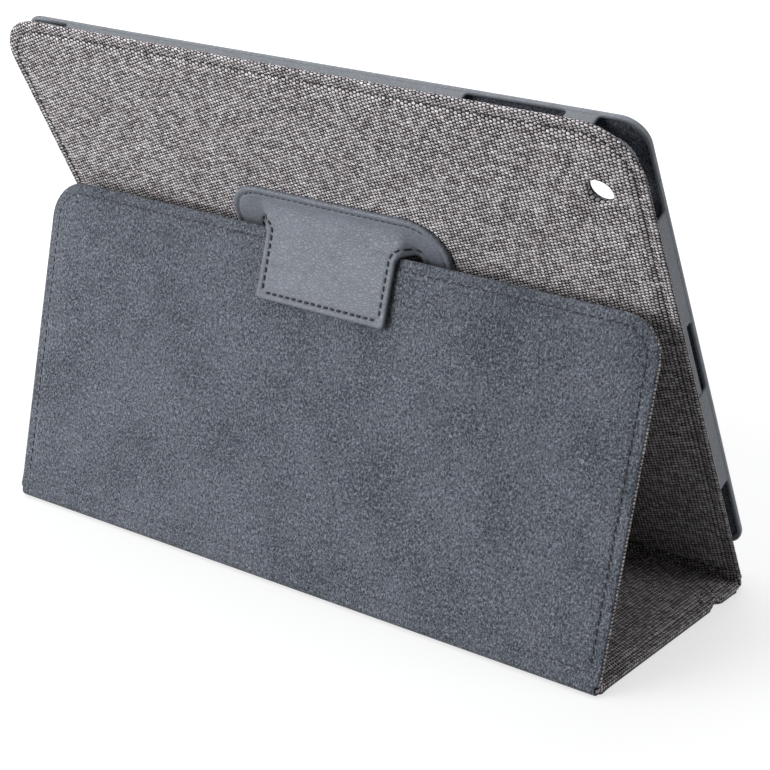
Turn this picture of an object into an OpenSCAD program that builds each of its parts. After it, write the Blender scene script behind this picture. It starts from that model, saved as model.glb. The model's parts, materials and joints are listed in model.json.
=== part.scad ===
// Folio stand case for a ten-inch class tablet, standing as a tent.
// Millimetres. The case stands on z = 0, x runs along its width, y from the prop towards the
// screen side, and the origin lies under the middle of the standing case.

/* [Tablet] */
// Width of the tablet that the pocket holds
tablet_w = 241.2; // [220:0.2:270]
// Height of the tablet that the pocket holds
tablet_h = 185.8; // [170:0.2:200]
// Thickness of the tablet that the pocket holds
tablet_t = 8.8; // [7:0.1:11]
// Slack round the tablet's edges
tablet_fit = 0.1; // [0.05:0.05:0.5]

/* [Cover] */
// Thickness of a cover panel, woven face to suede face
panel_t = 3.2; // [2.6:0.1:4]
// Length of the prop panel, from the ground corner to its free edge
prop_len = 119.5; // [112:0.5:126]
// How much shorter the whole cover is than the back panel
cover_short = 2.8; // [1:0.1:8]
// Room that the spine leaves between the closed cover and the frame
spine_slack = 5.8; // [5:0.1:9]
// Radius of the prop panel's two free corners
prop_corner_r = 13.6; // [6:0.2:20]
// Radius of the small corners beside the folds
fold_corner_r = 1.5; // [0.5:0.1:3]
// Half of the unboarded strip at the crease and at the front fold of the spine
cover_fold_half = 1.2; // [1:0.1:2]
// How far the front fold of the spine is drawn in at each end
fold_draw_in = 1.6; // [0.5:0.1:4]

/* [Layers] */
// Thickness of the woven fabric
tweed_t = 0.8; // [0.5:0.1:1]
// Width of the woven fabric that wraps a panel's edge
wrap_w = 1.2; // [0.8:0.1:2]
// Thickness of the suede sheet
suede_t = 0.6; // [0.4:0.1:0.8]
// How far the suede stops short of a panel's edge
suede_inset = 0.9; // [0.5:0.1:1.5]
// Slack round a board inside its woven wrap
board_fit = 0.1; // [0.05:0.05:0.3]
// Distance from a panel's edge to its line of stitches
stitch_inset = 3.8; // [2.5:0.1:5]
// Width of a line of thread
thread_w = 0.5; // [0.3:0.1:0.8]
// Height of a line of thread above its panel
thread_h = 0.25; // [0.1:0.05:0.4]

/* [Back panel] */
// Angle of the back panel above the ground
back_angle = 60.7; // [55:0.1:68]
// Height of the back panel above the frame
top_margin = 6; // [4:0.2:9]
// Width of the back panel beyond each side of the frame
side_margin = 3.2; // [2:0.1:6]
// Distance from the rear fold line of the spine up to the frame
foot_h = 8.1; // [6:0.1:14]
// Thickness of the board inside the back panel
back_board_t = 1.4; // [1:0.1:2]
// Radius of the back panel's two top corners
back_corner_r = 19.1; // [10:0.1:24]
// Half of the unboarded strip at the rear fold of the spine
back_fold_half = 2.5; // [2.4:0.1:3]
// Depth of the rear fold line below the woven faces
back_fold_depth = 1.1; // [0.9:0.1:1.3]

/* [Tablet frame] */
// Radius of the frame's outer corners
frame_corner_r = 8.5; // [5:0.5:14]
// Thickness of the frame's leather walls
wall_t = 1.1; // [0.8:0.1:1.6]
// Height of the band that ties the walls to the back panel
rim_h = 1.4; // [1:0.1:2]
// Height of the frame's front skirt beside the cut-outs
skirt_h = 2.5; // [2.2:0.1:3]
// Width of the chamfer round the front of the frame
bezel_chamfer = 1.3; // [0.6:0.1:1.4]
// Width of the front border round the screen window
bezel_w = 10; // [8:0.5:14]
// Radius of the screen window's corners
window_corner_r = 6; // [3:0.5:10]
// Thickness of the leather on the front border
bezel_leather_t = 0.5; // [0.4:0.1:0.8]
// Thickness of the stiffener inside the front border
bezel_board_t = 0.6; // [0.4:0.1:0.8]
// Thickness of the suede on the inside of the front border
bezel_lining_t = 0.3; // [0.2:0.1:0.4]

/* [Cut-outs] */
// Diameter of the camera hole
camera_d = 9; // [6:0.5:12]
// Distance from the frame's right side to the middle of the camera hole
camera_from_side = 13.3; // [11:0.1:20]
// Distance from the frame's top to the middle of the camera hole
camera_from_top = 19.8; // [14:0.1:30]
// Distance from the frame's left side to the start of the top wall
top_wall_from_side = 22.2; // [18:0.2:40]
// Distance from the frame's right side to the key slot in the top wall
key_slot_from_side = 25.5; // [24:0.1:40]
// Length of the key slot
key_slot_len = 34.8; // [20:0.1:40]
// Height of the sill below the key slot
key_slot_sill = 1.8; // [0.5:0.1:2.4]
// Length of wall between the key slot and the corner cut-out
post_len = 10.5; // [4:0.1:12]
// Distance from the frame's top to the end of the corner cut-out
corner_cut_from_top = 33.3; // [26:0.1:44]
// Distance from the frame's top to the side slot
side_slot_from_top = 78.3; // [56:0.1:90]
// Length of the side slot
side_slot_len = 29.8; // [20:0.1:50]
// Height of the strip that lines the side slot
side_strip_h = 4.2; // [3:0.1:5]
// Thickness of the strip that lines the side slot
side_strip_t = 0.5; // [0.3:0.1:0.7]
// Distance from the frame's bottom to the start of the socket cut-out
socket_cut_from_bottom = 35.7; // [24:0.1:50]
// Distance from each side of the frame to the bottom wall
bottom_wall_from_side = 21.8; // [18:0.2:40]

/* [Tab] */
// Half width of the tab over its wings
tab_half_w = 44.5; // [38:0.5:60]
// Height of the tab's upper band
tab_band_h = 6.8; // [5:0.1:10]
// Distance from the prop panel's edge up to the tab's upper band
tab_rise = 5.6; // [4:0.1:8]
// Radius of the tab's upper corners
tab_corner_r = 14; // [6:0.5:16]
// How far the wings reach below the upper band
wing_reach = 15; // [12:0.5:24]
// Half width of the notched middle between the wings
notch_half_w = 31; // [29:0.5:34]
// Thickness of the folded leather
tab_t = 1.8; // [1.2:0.1:2]
// Width of the tongue
tongue_w = 53; // [30:0.5:56]
// How far the tongue reaches down over the prop panel
tongue_len = 23.6; // [15:0.2:32]
// Air under the tongue
tongue_gap = 0.3; // [0.2:0.05:0.5]
// Air between the tab and the edge of the prop panel that leans towards it
prop_air = 2; // [1:0.1:3]
// Distance from the tab's edge to its line of stitches
tab_stitch_inset = 1.8; // [1.2:0.1:3]

/* [Hidden] */
$fn = 48;

tweed_color = "#6f6663";
suede_color = "#4a515c";
leather_color = "#5b6067";
board_color = "#8a7a64";
thread_color = "#17181b";

lap = 1;                 // how far a cutting tool runs past what it cuts
hair = 0.1;              // air between a soft fold and a panel that turns beside it
cover_fold_depth = 0.6;  // depth of the crease line and of the spine's front fold line

// Thicknesses
board_t = panel_t - tweed_t - suede_t;
back_t = tweed_t + back_board_t + suede_t;
bezel_t = bezel_leather_t + bezel_board_t + bezel_lining_t;
depth = back_t + tablet_t + bezel_t;
skirt_base = depth - skirt_h;

// Sizes that follow from the tablet
frame_w = tablet_w + 2 * (tablet_fit + wall_t);
frame_h = tablet_h + 2 * (tablet_fit + wall_t);
case_w = frame_w + 2 * side_margin;
back_h = foot_h + frame_h + top_margin;
frame_bottom = foot_h;
frame_top = foot_h + frame_h;
floor_len = back_h - cover_short - prop_len;
spine_pitch = depth + spine_slack;

// Fold lines of the spine
front_fold_y = floor_len;
rear_fold_y = floor_len + spine_pitch;
rear_fold_z = panel_t - back_fold_depth;

// The prop panel stands on the ground corner and leans until its free edge is this far from the
// back panel's woven face; the lean follows from the lengths of the tent's three sides
prop_gap = tab_t + prop_air;
prop_reach = rear_fold_y * sin(back_angle) + rear_fold_z * cos(back_angle)
    - back_fold_depth - prop_gap;
prop_angle = 180 + atan2(panel_t, prop_len) - back_angle
    - asin(prop_reach / sqrt(prop_len * prop_len + panel_t * panel_t));

// Crease between the prop panel and the floor panel: its line is as far from the ground as from
// the prop's outer face, so both panels meet the ground corner
crease_r = panel_t - cover_fold_depth;
crease_y = crease_r * (1 + cos(prop_angle)) / sin(prop_angle);
prop_top = prop_len - crease_y;

// How far up the back panel the prop panel's outer edge stands, and the tab above it
prop_edge_up = (rear_fold_y - prop_len * cos(prop_angle)) * cos(back_angle)
    + (prop_len * sin(prop_angle) - rear_fold_z) * sin(back_angle);
band_bottom = prop_edge_up + tab_rise;
tab_top = band_bottom + tab_band_h;
wing_corner_r = 3;

// The origin is below the middle of the standing case, between the back panel's top edge and
// the lower front edge of the frame
nearest_y = on_back(back_h, 0)[0];
furthest_y = on_back(frame_bottom + bezel_chamfer, depth)[0];
origin_y = (nearest_y + furthest_y) / 2;

// A point of the back panel as [y, z]: up from the rear fold line, and in from the woven face
function on_back(up, inward) = [
    rear_fold_y - up * cos(back_angle) + (inward - back_fold_depth) * sin(back_angle),
    rear_fold_z + up * sin(back_angle) + (inward - back_fold_depth) * cos(back_angle)
];

// A point of the prop panel as [y, z]: up from the crease line, and out towards the suede
function on_prop(up, outward) = [
    crease_y + up * cos(prop_angle) - outward * sin(prop_angle),
    crease_r + up * sin(prop_angle) + outward * cos(prop_angle)
];

// Places flat work on the back panel: y runs up the panel, z out of its woven face
module back_place()
    translate([0, rear_fold_y - origin_y - back_fold_depth * sin(back_angle),
               rear_fold_z - back_fold_depth * cos(back_angle)])
        rotate([180 - back_angle, 0, 0]) children();

// As above, but z runs inward from the woven face
module back_place_inward() back_place() mirror([0, 0, 1]) children();

// Places flat work on the prop panel: y runs up the panel, z from the woven face to the suede
module prop_place()
    translate([0, crease_y - origin_y, crease_r])
        rotate([prop_angle, 0, 0]) translate([0, 0, -cover_fold_depth]) children();

// Places flat work on the ground: y as in the case, z down from the woven face to the suede
module ground_place() translate([0, -origin_y, panel_t]) mirror([0, 0, 1]) children();

// Turns a side view in [y, z] into a bar of a given width across the case
module across(w)
    translate([-w / 2, -origin_y, 0])
        rotate([90, 0, 90]) linear_extrude(w) children();

// Outline of a panel: two corner radii at its start and two at its end
module outline(w, y0, y1, r0, r1) {
    half = (y1 - y0) / 2;
    translate([-w / 2, y0 + r0]) square([w, y1 - y0 - r0 - r1]);
    translate([r0 - w / 2, y0]) square([w - 2 * r0, half]);
    translate([r1 - w / 2, y1 - half]) square([w - 2 * r1, half]);
    for (side = [-1, 1]) {
        translate([side * (w / 2 - r0), y0 + r0]) circle(r0);
        translate([side * (w / 2 - r1), y1 - r1]) circle(r1);
    }
}

// The same outline drawn in by a distance
module inset_outline(by, w, y0, y1, r0, r1)
    outline(w - 2 * by, y0 + by, y1 - by, max(r0 - by, 0.2), max(r1 - by, 0.2));

// Woven fabric over one face of a board and round its edges; its face is at z = 0
module woven_wrap(board_h, y0, y1, r0, r1) {
    color(tweed_color) difference() {
        linear_extrude(tweed_t + board_h) outline(case_w, y0, y1, r0, r1);
        translate([0, 0, tweed_t])
            linear_extrude(board_h + lap) inset_outline(wrap_w, case_w, y0, y1, r0, r1);
    }
}

module board(board_h, y0, y1, r0, r1) {
    color(board_color) translate([0, 0, tweed_t])
        linear_extrude(board_h) inset_outline(wrap_w + board_fit, case_w, y0, y1, r0, r1);
}

module suede_sheet(board_h, y0, y1, r0, r1) {
    color(suede_color) translate([0, 0, tweed_t + board_h])
        linear_extrude(suede_t) inset_outline(suede_inset, case_w, y0, y1, r0, r1);
}

// Line of thread up both sides of a panel and, where wanted, across its end
module thread_line(y0, y1, r1, across_end) {
    inner = stitch_inset + thread_w;
    color(thread_color) linear_extrude(thread_h) difference() {
        outline(case_w - 2 * stitch_inset, y0, y1 - (across_end ? stitch_inset : 0),
                0.2, across_end ? r1 - stitch_inset : 0.2);
        outline(case_w - 2 * inner, y0 - lap, y1 - (across_end ? inner : -lap),
                0.2, across_end ? r1 - inner : 0.2);
    }
}

// ---- Back panel ----

module camera_hole()
    translate([frame_w / 2 - camera_from_side, frame_top - camera_from_top, -lap])
        cylinder(h = back_t + 2 * lap, d = camera_d);

module back_tweed() back_place_inward() difference() {
    woven_wrap(back_board_t, back_fold_half, back_h, fold_corner_r, back_corner_r);
    color(tweed_color) camera_hole();
}

module back_board() back_place_inward() difference() {
    board(back_board_t, back_fold_half, back_h, fold_corner_r, back_corner_r);
    color(board_color) camera_hole();
}

module back_lining() back_place_inward() difference() {
    suede_sheet(back_board_t, back_fold_half, back_h, fold_corner_r, back_corner_r);
    color(suede_color) camera_hole();
}

module back_thread() back_place()
    thread_line(back_fold_half + stitch_inset, back_h, back_corner_r, true);

// ---- Tablet frame ----

module frame_outline(by)
    inset_outline(by, frame_w, frame_bottom, frame_top, frame_corner_r, frame_corner_r);

module frame_ring(h) {
    linear_extrude(h) difference() {
        frame_outline(0);
        frame_outline(wall_t);
    }
}

module window_outline()
    outline(frame_w - 2 * bezel_w, frame_bottom + bezel_w, frame_top - bezel_w,
            window_corner_r, window_corner_r);

// Opening in the frame's left side, through which the tablet slides into the pocket
module tablet_entry()
    translate([-frame_w / 2 - lap, frame_bottom + wall_t, back_t])
        cube([frame_corner_r + lap, frame_h - 2 * wall_t, tablet_t]);

module rim_band() color(leather_color) back_place_inward() difference() {
    translate([0, 0, back_t]) frame_ring(rim_h);
    translate([0, 0, -lap]) tablet_entry();
}

// The part of the frame's wall that lies in a box from x0 to x1 and from y0 to y1
module wall_part(x0, x1, y0, y1) {
    base = back_t + rim_h;
    color(leather_color) back_place_inward() translate([0, 0, base]) intersection() {
        frame_ring(skirt_base - base);
        translate([x0, y0, 0]) cube([x1 - x0, y1 - y0, skirt_base - base]);
    }
}

key_slot_end = frame_w / 2 - key_slot_from_side;
key_slot_start = key_slot_end - key_slot_len;
side_slot_end = frame_top - side_slot_from_top - side_slot_len;
side_x = frame_w / 2;

module wall_top() {
    wall_part(top_wall_from_side - frame_w / 2, key_slot_start, frame_top - frame_corner_r, frame_top);
    color(leather_color) back_place_inward()
        translate([key_slot_start, frame_top - wall_t, back_t + rim_h])
            cube([key_slot_len, wall_t, key_slot_sill]);
}

module wall_post()
    wall_part(key_slot_end, key_slot_end + post_len, frame_top - frame_corner_r, frame_top);

module wall_side_upper()
    wall_part(side_x - frame_corner_r, side_x,
              frame_top - side_slot_from_top, frame_top - corner_cut_from_top);

module wall_side_lower()
    wall_part(side_x - frame_corner_r, side_x, frame_bottom + socket_cut_from_bottom, side_slot_end);

module wall_bottom()
    wall_part(bottom_wall_from_side - frame_w / 2, frame_w / 2 - bottom_wall_from_side,
              frame_bottom, frame_bottom + frame_corner_r);

module side_slot_strip() color(leather_color) back_place_inward()
    translate([side_x - wall_t, side_slot_end, back_t + rim_h])
        cube([side_strip_t, side_slot_len, side_strip_h]);

module bezel_leather() color(leather_color) back_place_inward() difference() {
    union() {
        translate([0, 0, skirt_base])
            linear_extrude(skirt_h - bezel_chamfer) frame_outline(0);
        hull() {
            translate([0, 0, depth - bezel_chamfer]) linear_extrude(0.01) frame_outline(0);
            translate([0, 0, depth - 0.01]) linear_extrude(0.01) frame_outline(bezel_chamfer);
        }
    }
    translate([0, 0, skirt_base - lap])
        linear_extrude(skirt_h - bezel_leather_t + lap) frame_outline(wall_t);
    translate([0, 0, skirt_base - lap]) linear_extrude(skirt_h + 2 * lap) window_outline();
    tablet_entry();
}

// A flat ring inside the front border
module border_ring(h) {
    linear_extrude(h) difference() {
        frame_outline(wall_t + board_fit);
        window_outline();
    }
}

module bezel_board() color(board_color) back_place_inward()
    translate([0, 0, depth - bezel_leather_t - bezel_board_t]) border_ring(bezel_board_t);

module bezel_lining() color(suede_color) back_place_inward()
    translate([0, 0, depth - bezel_t]) border_ring(bezel_lining_t);

// ---- Tab ----

module tab_base() color(leather_color) back_place() linear_extrude(tab_t) difference() {
    outline(2 * tab_half_w, band_bottom - wing_reach, tab_top, wing_corner_r, tab_corner_r);
    translate([-notch_half_w, band_bottom - wing_reach - lap])
        square([2 * notch_half_w, wing_reach + lap]);
}

module tab_base_thread() color(thread_color) back_place() translate([0, 0, tab_t])
    translate([tab_corner_r - tab_half_w, tab_top - tab_stitch_inset - thread_w, 0])
        cube([2 * (tab_half_w - tab_corner_r), thread_w, thread_h]);

tongue_inner = crease_r + tongue_gap;
tongue_outer = tongue_inner + tab_t;
tongue_tip = prop_top - tongue_len;

module tab_tongue() color(leather_color) across(tongue_w) polygon([
    on_back(band_bottom - hair, -tongue_gap),
    on_back(band_bottom - hair, -tab_t),
    on_prop(prop_top + tab_t, tongue_outer),
    on_prop(tongue_tip, tongue_outer),
    on_prop(tongue_tip, tongue_inner),
    on_prop(prop_top + tongue_gap, tongue_inner),
    on_back(band_bottom - hair - tab_t, -tongue_gap)
]);

module tongue_thread() color(thread_color) prop_place()
    translate([0, 0, cover_fold_depth + tongue_outer]) linear_extrude(thread_h) difference() {
        translate([-tongue_w / 2 + tab_stitch_inset, tongue_tip + tab_stitch_inset])
            square([tongue_w - 2 * tab_stitch_inset, tongue_len - tab_stitch_inset]);
        translate([-tongue_w / 2 + tab_stitch_inset + thread_w, tongue_tip + tab_stitch_inset + thread_w])
            square([tongue_w - 2 * (tab_stitch_inset + thread_w), tongue_len]);
    }

// ---- Spine strip ----

spine_start = front_fold_y + cover_fold_half;
spine_end = rear_fold_y - back_fold_half;

module spine_tweed() ground_place()
    woven_wrap(board_t, spine_start, spine_end, fold_corner_r, fold_corner_r);

module spine_board() ground_place()
    board(board_t, spine_start, spine_end, fold_corner_r, fold_corner_r);

module spine_suede() ground_place()
    suede_sheet(board_t, spine_start, spine_end, fold_corner_r, fold_corner_r);

module spine_thread() translate([0, -origin_y, panel_t])
    thread_line(spine_start + stitch_inset, spine_end - stitch_inset, fold_corner_r, false);

// Side view of the outer side of a fold: a round sector between two directions
module fold_sector(y, z, r, from_angle, to_angle) {
    reach = 3 * r;
    middle = (from_angle + to_angle) / 2;
    translate([y, z]) intersection() {
        circle(r);
        polygon([for (a = [undef, from_angle, middle, to_angle])
            is_undef(a) ? [0, 0] : reach * [cos(a), sin(a)]]);
    }
    translate([y, z]) circle(cover_fold_depth - hair);
}

// Soft fold between the spine and the back panel
module spine_rear_fold() color(tweed_color) across(case_w - 2 * fold_corner_r) {
    translate([rear_fold_y - back_fold_half, 2 * hair])
        square([back_fold_half, panel_t - 2 * hair]);
    fold_sector(rear_fold_y, rear_fold_z, rear_fold_z - 2 * hair, 270, 450 - back_angle);
    polygon([
        on_back(0, back_t), on_back(back_fold_half - hair, back_t),
        on_back(back_fold_half - hair, 0), on_back(0, 0)
    ]);
}

// Soft fold between the spine and the floor panel
module spine_front_fold() color(tweed_color) across(case_w - 2 * fold_draw_in)
    translate([front_fold_y - cover_fold_half + hair, 2 * hair])
        square([2 * cover_fold_half - hair, panel_t - 4 * hair]);

// ---- Floor panel ----

floor_start = crease_y + cover_fold_half;
floor_end = front_fold_y - cover_fold_half;

module floor_tweed() ground_place()
    woven_wrap(board_t, floor_start, floor_end, fold_corner_r, fold_corner_r);

module floor_board() ground_place()
    board(board_t, floor_start, floor_end, fold_corner_r, fold_corner_r);

module floor_suede() ground_place()
    suede_sheet(board_t, floor_start, floor_end, fold_corner_r, fold_corner_r);

module floor_thread() translate([0, -origin_y, panel_t])
    thread_line(floor_start + stitch_inset, floor_end - stitch_inset, fold_corner_r, false);

// Soft crease between the floor panel and the prop panel
module crease_fold() color(suede_color) across(case_w - 2 * fold_corner_r) {
    fold_r = crease_r - 2 * hair;
    translate([crease_y, 2 * hair]) square([cover_fold_half, panel_t - 2 * hair]);
    fold_sector(crease_y, crease_r, fold_r, 90 + prop_angle, 270);
    polygon([
        on_prop(0, -cover_fold_depth), on_prop(cover_fold_half - hair, -cover_fold_depth),
        on_prop(cover_fold_half - hair, fold_r), on_prop(0, fold_r)
    ]);
}

// ---- Prop panel ----

module prop_tweed() prop_place()
    woven_wrap(board_t, cover_fold_half, prop_top, fold_corner_r, prop_corner_r);

module prop_board() prop_place()
    board(board_t, cover_fold_half, prop_top, fold_corner_r, prop_corner_r);

module prop_suede() prop_place()
    suede_sheet(board_t, cover_fold_half, prop_top, fold_corner_r, prop_corner_r);

module prop_thread() prop_place() translate([0, 0, panel_t]) difference() {
    thread_line(cover_fold_half + stitch_inset, prop_top, prop_corner_r, true);
    color(thread_color) translate([-tongue_w / 2 - lap, tongue_tip, -lap])
        cube([tongue_w + 2 * lap, tongue_len, thread_h + 2 * lap]);
}

back_board();
back_tweed();
back_lining();
back_thread();
rim_band();
wall_top();
wall_post();
wall_side_upper();
wall_side_lower();
wall_bottom();
side_slot_strip();
bezel_leather();
bezel_board();
bezel_lining();
tab_base();
tab_base_thread();
tab_tongue();
tongue_thread();
spine_rear_fold();
spine_board();
spine_tweed();
spine_suede();
spine_thread();
spine_front_fold();
floor_board();
floor_tweed();
floor_suede();
floor_thread();
crease_fold();
prop_board();
prop_tweed();
prop_suede();
prop_thread();
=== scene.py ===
"""Tablet folio case, dressed: woven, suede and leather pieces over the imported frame.

Lengths in this file are millimetres until a mesh is made, and Blender's objects are in metres. A flat
piece is drawn in sheet coordinates: x across the case, s up the panel from its fold line, and n from
the panel's woven face towards its other face.
"""

import json
import logging
import math
from dataclasses import dataclass, field
from enum import Enum
from typing import Callable, Optional, Sequence

import bmesh
import bpy
import numpy as np
from mathutils import Matrix, Vector, noise
from mathutils.geometry import delaunay_2d_cdt


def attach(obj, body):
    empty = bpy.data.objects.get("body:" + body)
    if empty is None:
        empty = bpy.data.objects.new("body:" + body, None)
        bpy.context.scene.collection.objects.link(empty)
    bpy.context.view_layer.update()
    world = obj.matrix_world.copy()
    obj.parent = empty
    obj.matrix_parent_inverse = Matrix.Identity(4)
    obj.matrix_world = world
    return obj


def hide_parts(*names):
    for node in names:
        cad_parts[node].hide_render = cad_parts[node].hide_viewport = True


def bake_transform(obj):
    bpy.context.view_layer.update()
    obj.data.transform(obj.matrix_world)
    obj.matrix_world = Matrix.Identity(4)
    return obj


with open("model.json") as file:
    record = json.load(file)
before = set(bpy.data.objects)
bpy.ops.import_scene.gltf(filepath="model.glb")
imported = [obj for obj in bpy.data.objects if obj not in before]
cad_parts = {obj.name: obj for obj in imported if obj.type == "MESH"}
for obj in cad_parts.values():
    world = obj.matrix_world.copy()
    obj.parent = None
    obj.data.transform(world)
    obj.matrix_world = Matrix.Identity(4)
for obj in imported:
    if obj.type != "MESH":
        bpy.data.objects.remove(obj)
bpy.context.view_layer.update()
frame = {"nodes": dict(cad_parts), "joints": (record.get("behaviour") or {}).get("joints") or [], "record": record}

log = logging.getLogger("folio_case")

MM = 0.001
SEED = 11
TINY = 1e-9  # keeps a divisor off zero
NEAR = 1e-6  # less than this counts as nothing, in millimetres or radians

# Angles of the two leaning panels above the ground, in degrees
BACK_ANGLE = 60.7
PROP_ANGLE = 77.33

# Sizes that several pieces share
CASE_W = 250.0
PANEL_T = 3.2
TWEED_SLAB_T = 2.0
TWEED_INSET = 0.35
COVER_NAP_T = 1.5
COVER_NAP_INSET = 0.1
BACK_SLAB_T = 2.2
SUEDE_T = 0.6
SUEDE_INSET = 0.9
STITCH_INSET = 3.8
COVER_FOLD_HALF = 1.2
BACK_FOLD_HALF = 2.5
COVER_FOLD_DEPTH = 0.6
BACK_FOLD_DEPTH = 1.1

Points = np.ndarray


class Body(Enum):
    """Rigid bodies that a piece can ride on."""

    HOLDER = "holder"
    TONGUE = "tongue"
    SPINE = "spine"
    FLOOR = "floor"
    PROP = "prop"


class Slot(Enum):
    """Material slots of the record."""

    TWEED = "tweed"
    SUEDE = "suede"
    LEATHER = "leather"
    BOARD = "board"
    THREAD = "thread"


# ---- Lines ----


def turned(angle: float) -> np.ndarray:
    """Direction at an angle in degrees, counted from the first axis towards the second."""
    return np.array([math.cos(math.radians(angle)), math.sin(math.radians(angle))])


def spun(arrow: Points, angle: float) -> np.ndarray:
    """An arrow turned by an angle in radians."""
    c, w = math.cos(angle), math.sin(angle)
    return np.array([arrow[0] * c - arrow[1] * w, arrow[0] * w + arrow[1] * c])


def reach_along(line: Points) -> Points:
    """Distance along a polyline to each of its points."""
    return np.concatenate([[0.0], np.cumsum(np.linalg.norm(np.diff(line, axis=0), axis=1))])


def read_off(values: Points, reach: Points, at: Points) -> Points:
    """Pairs of values known at distances `reach` along a line, read off at the distances `at`."""
    return np.stack([np.interp(at, reach, values[:, c]) for c in (0, 1)], axis=-1)


def even_steps(line: Points, count: int) -> Points:
    """Points at even steps along a polyline."""
    reach = reach_along(line)
    return read_off(line, reach, np.linspace(0.0, reach[-1], count))


# ---- Places ----


def joint_at(name: str) -> tuple[float, float]:
    """Place of a joint's axis.

    Args:
        name: The joint's name in the record.

    Returns:
        Its y and z in millimetres.
    """
    found = next(j for j in frame["joints"] if j["name"] == name)
    return found["pos_m"][1] / MM, found["pos_m"][2] / MM


class Placement:
    """Turns sheet coordinates into places in the frame."""

    def place(self, x: Points, s: Points, n: Points) -> Points:
        """Places points given in sheet coordinates, in millimetres.

        Args:
            x: Their places across the case.
            s: Their places up the sheet.
            n: Their heights above the sheet.

        Returns:
            Their x, y and z in the frame, in millimetres.
        """
        raise NotImplementedError


@dataclass(frozen=True)
class Plane(Placement):
    """A flat panel: s runs along `along` and n along `normal`, both in the y-z plane."""

    origin: tuple[float, float]
    along: tuple[float, float]
    normal: tuple[float, float]

    def place(self, x: Points, s: Points, n: Points) -> Points:
        """Places points on the panel."""
        y, z = (self.origin[i] + s * self.along[i] + n * self.normal[i] for i in (0, 1))
        return np.stack([x, y, z], axis=-1)

    def at(self, s: float, n: float) -> np.ndarray:
        """One point of the panel's side view, as [y, z]."""
        return self.place(np.zeros(1), np.array([s]), np.array([n]))[0, 1:]


@dataclass(frozen=True)
class SaggingPlane(Plane):
    """The pocket's plane, where the front of the frame settles a little towards its open side."""

    sag: float = 1.5  # how far the front edge settles at the open side
    firm: tuple[float, float] = (2.8, 105.0)  # n and x up to which the frame keeps its place
    soft: tuple[float, float] = (12.0, -75.0)  # n and x from which it settles in full

    def place(self, x: Points, s: Points, n: Points) -> Points:
        """Places points, with those at the front of the open side drawn towards the back panel.

        Args:
            x: Their places across the case.
            s: Their places up the sheet.
            n: Their heights above the sheet.

        Returns:
            Their x, y and z in the frame, in millimetres.
        """
        deep = np.clip((n - self.firm[0]) / (self.soft[0] - self.firm[0]), 0.0, 1.0)
        across = np.clip((self.firm[1] - x) / (self.firm[1] - self.soft[1]), 0.0, 1.0)
        return super().place(x, s, n - self.sag * deep * across)


def leaning_plane(joint: str, depth: float, angle: float, forward: float) -> Plane:
    """Plane of a leaning panel, from its fold line up.

    Args:
        joint: The hinge that the panel turns on.
        depth: Distance from the hinge to the panel's woven face.
        angle: The panel's angle above the ground, in degrees.
        forward: 1 if it leans towards +y, and -1 if towards -y.

    Returns:
        The plane, with n from the woven face to the other.
    """
    hinge = joint_at(joint)
    along = (forward * math.cos(math.radians(angle)), math.sin(math.radians(angle)))
    normal = (-forward * along[1], forward * along[0])
    return Plane((hinge[0] - depth * normal[0], hinge[1] - depth * normal[1]), along, normal)


def ground_plane() -> Plane:
    """The floor panel and the spine, with s counted along y and n down to the suede."""
    return Plane((0.0, PANEL_T), (1.0, 0.0), (0.0, -1.0))


@dataclass(frozen=True)
class BentSheet(Placement):
    """A sheet that lies on a plane, with a tongue in its middle that leaves it along a bent path."""

    plane: Plane
    # the bent path, a polyline in the y-z plane that starts on the plane
    path: tuple[tuple[float, float], ...]
    leave: float  # s at which the tongue leaves the plane, to follow the path as s falls below that
    half_width: float  # half of the tongue's width
    shoulder: float  # distance on each side of the tongue's edge over which the plane takes over
    centre: float  # x of the tongue's middle

    def place(self, x: Points, s: Points, n: Points) -> Points:
        """Places points on the plane, or along the path where they belong to the tongue.

        Args:
            x: Their places across the case.
            s: Their places up the sheet.
            n: Their heights above the sheet.

        Returns:
            Their x, y and z in the frame, in millimetres.
        """
        flat = self.plane.place(x, s, n)
        line = np.array(self.path)
        reach = reach_along(line)
        down = np.clip(self.leave - s, 0.0, reach[-1])
        at = read_off(line, reach, down)
        ahead = read_off(np.gradient(line, reach, axis=0), reach, down)
        ahead /= np.hypot(ahead[:, 0], ahead[:, 1])[:, None]
        # The sheet's outer side is to the right of the path as it runs down
        bent = np.stack([x, at[:, 0] + n * ahead[:, 1], at[:, 1] - n * ahead[:, 0]], axis=-1)
        room = self.half_width + self.shoulder - np.abs(x - self.centre)
        share = np.clip(room / (2 * self.shoulder), 0.0, 1.0)
        share = (share * share * (3 - 2 * share) * (s < self.leave))[:, None]
        return bent * share + flat * (1.0 - share)


# ---- Flat outlines ----


@dataclass(frozen=True)
class Corner:
    """A corner of an outline, with the radius that rounds it."""

    x: float
    s: float
    radius: float


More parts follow.
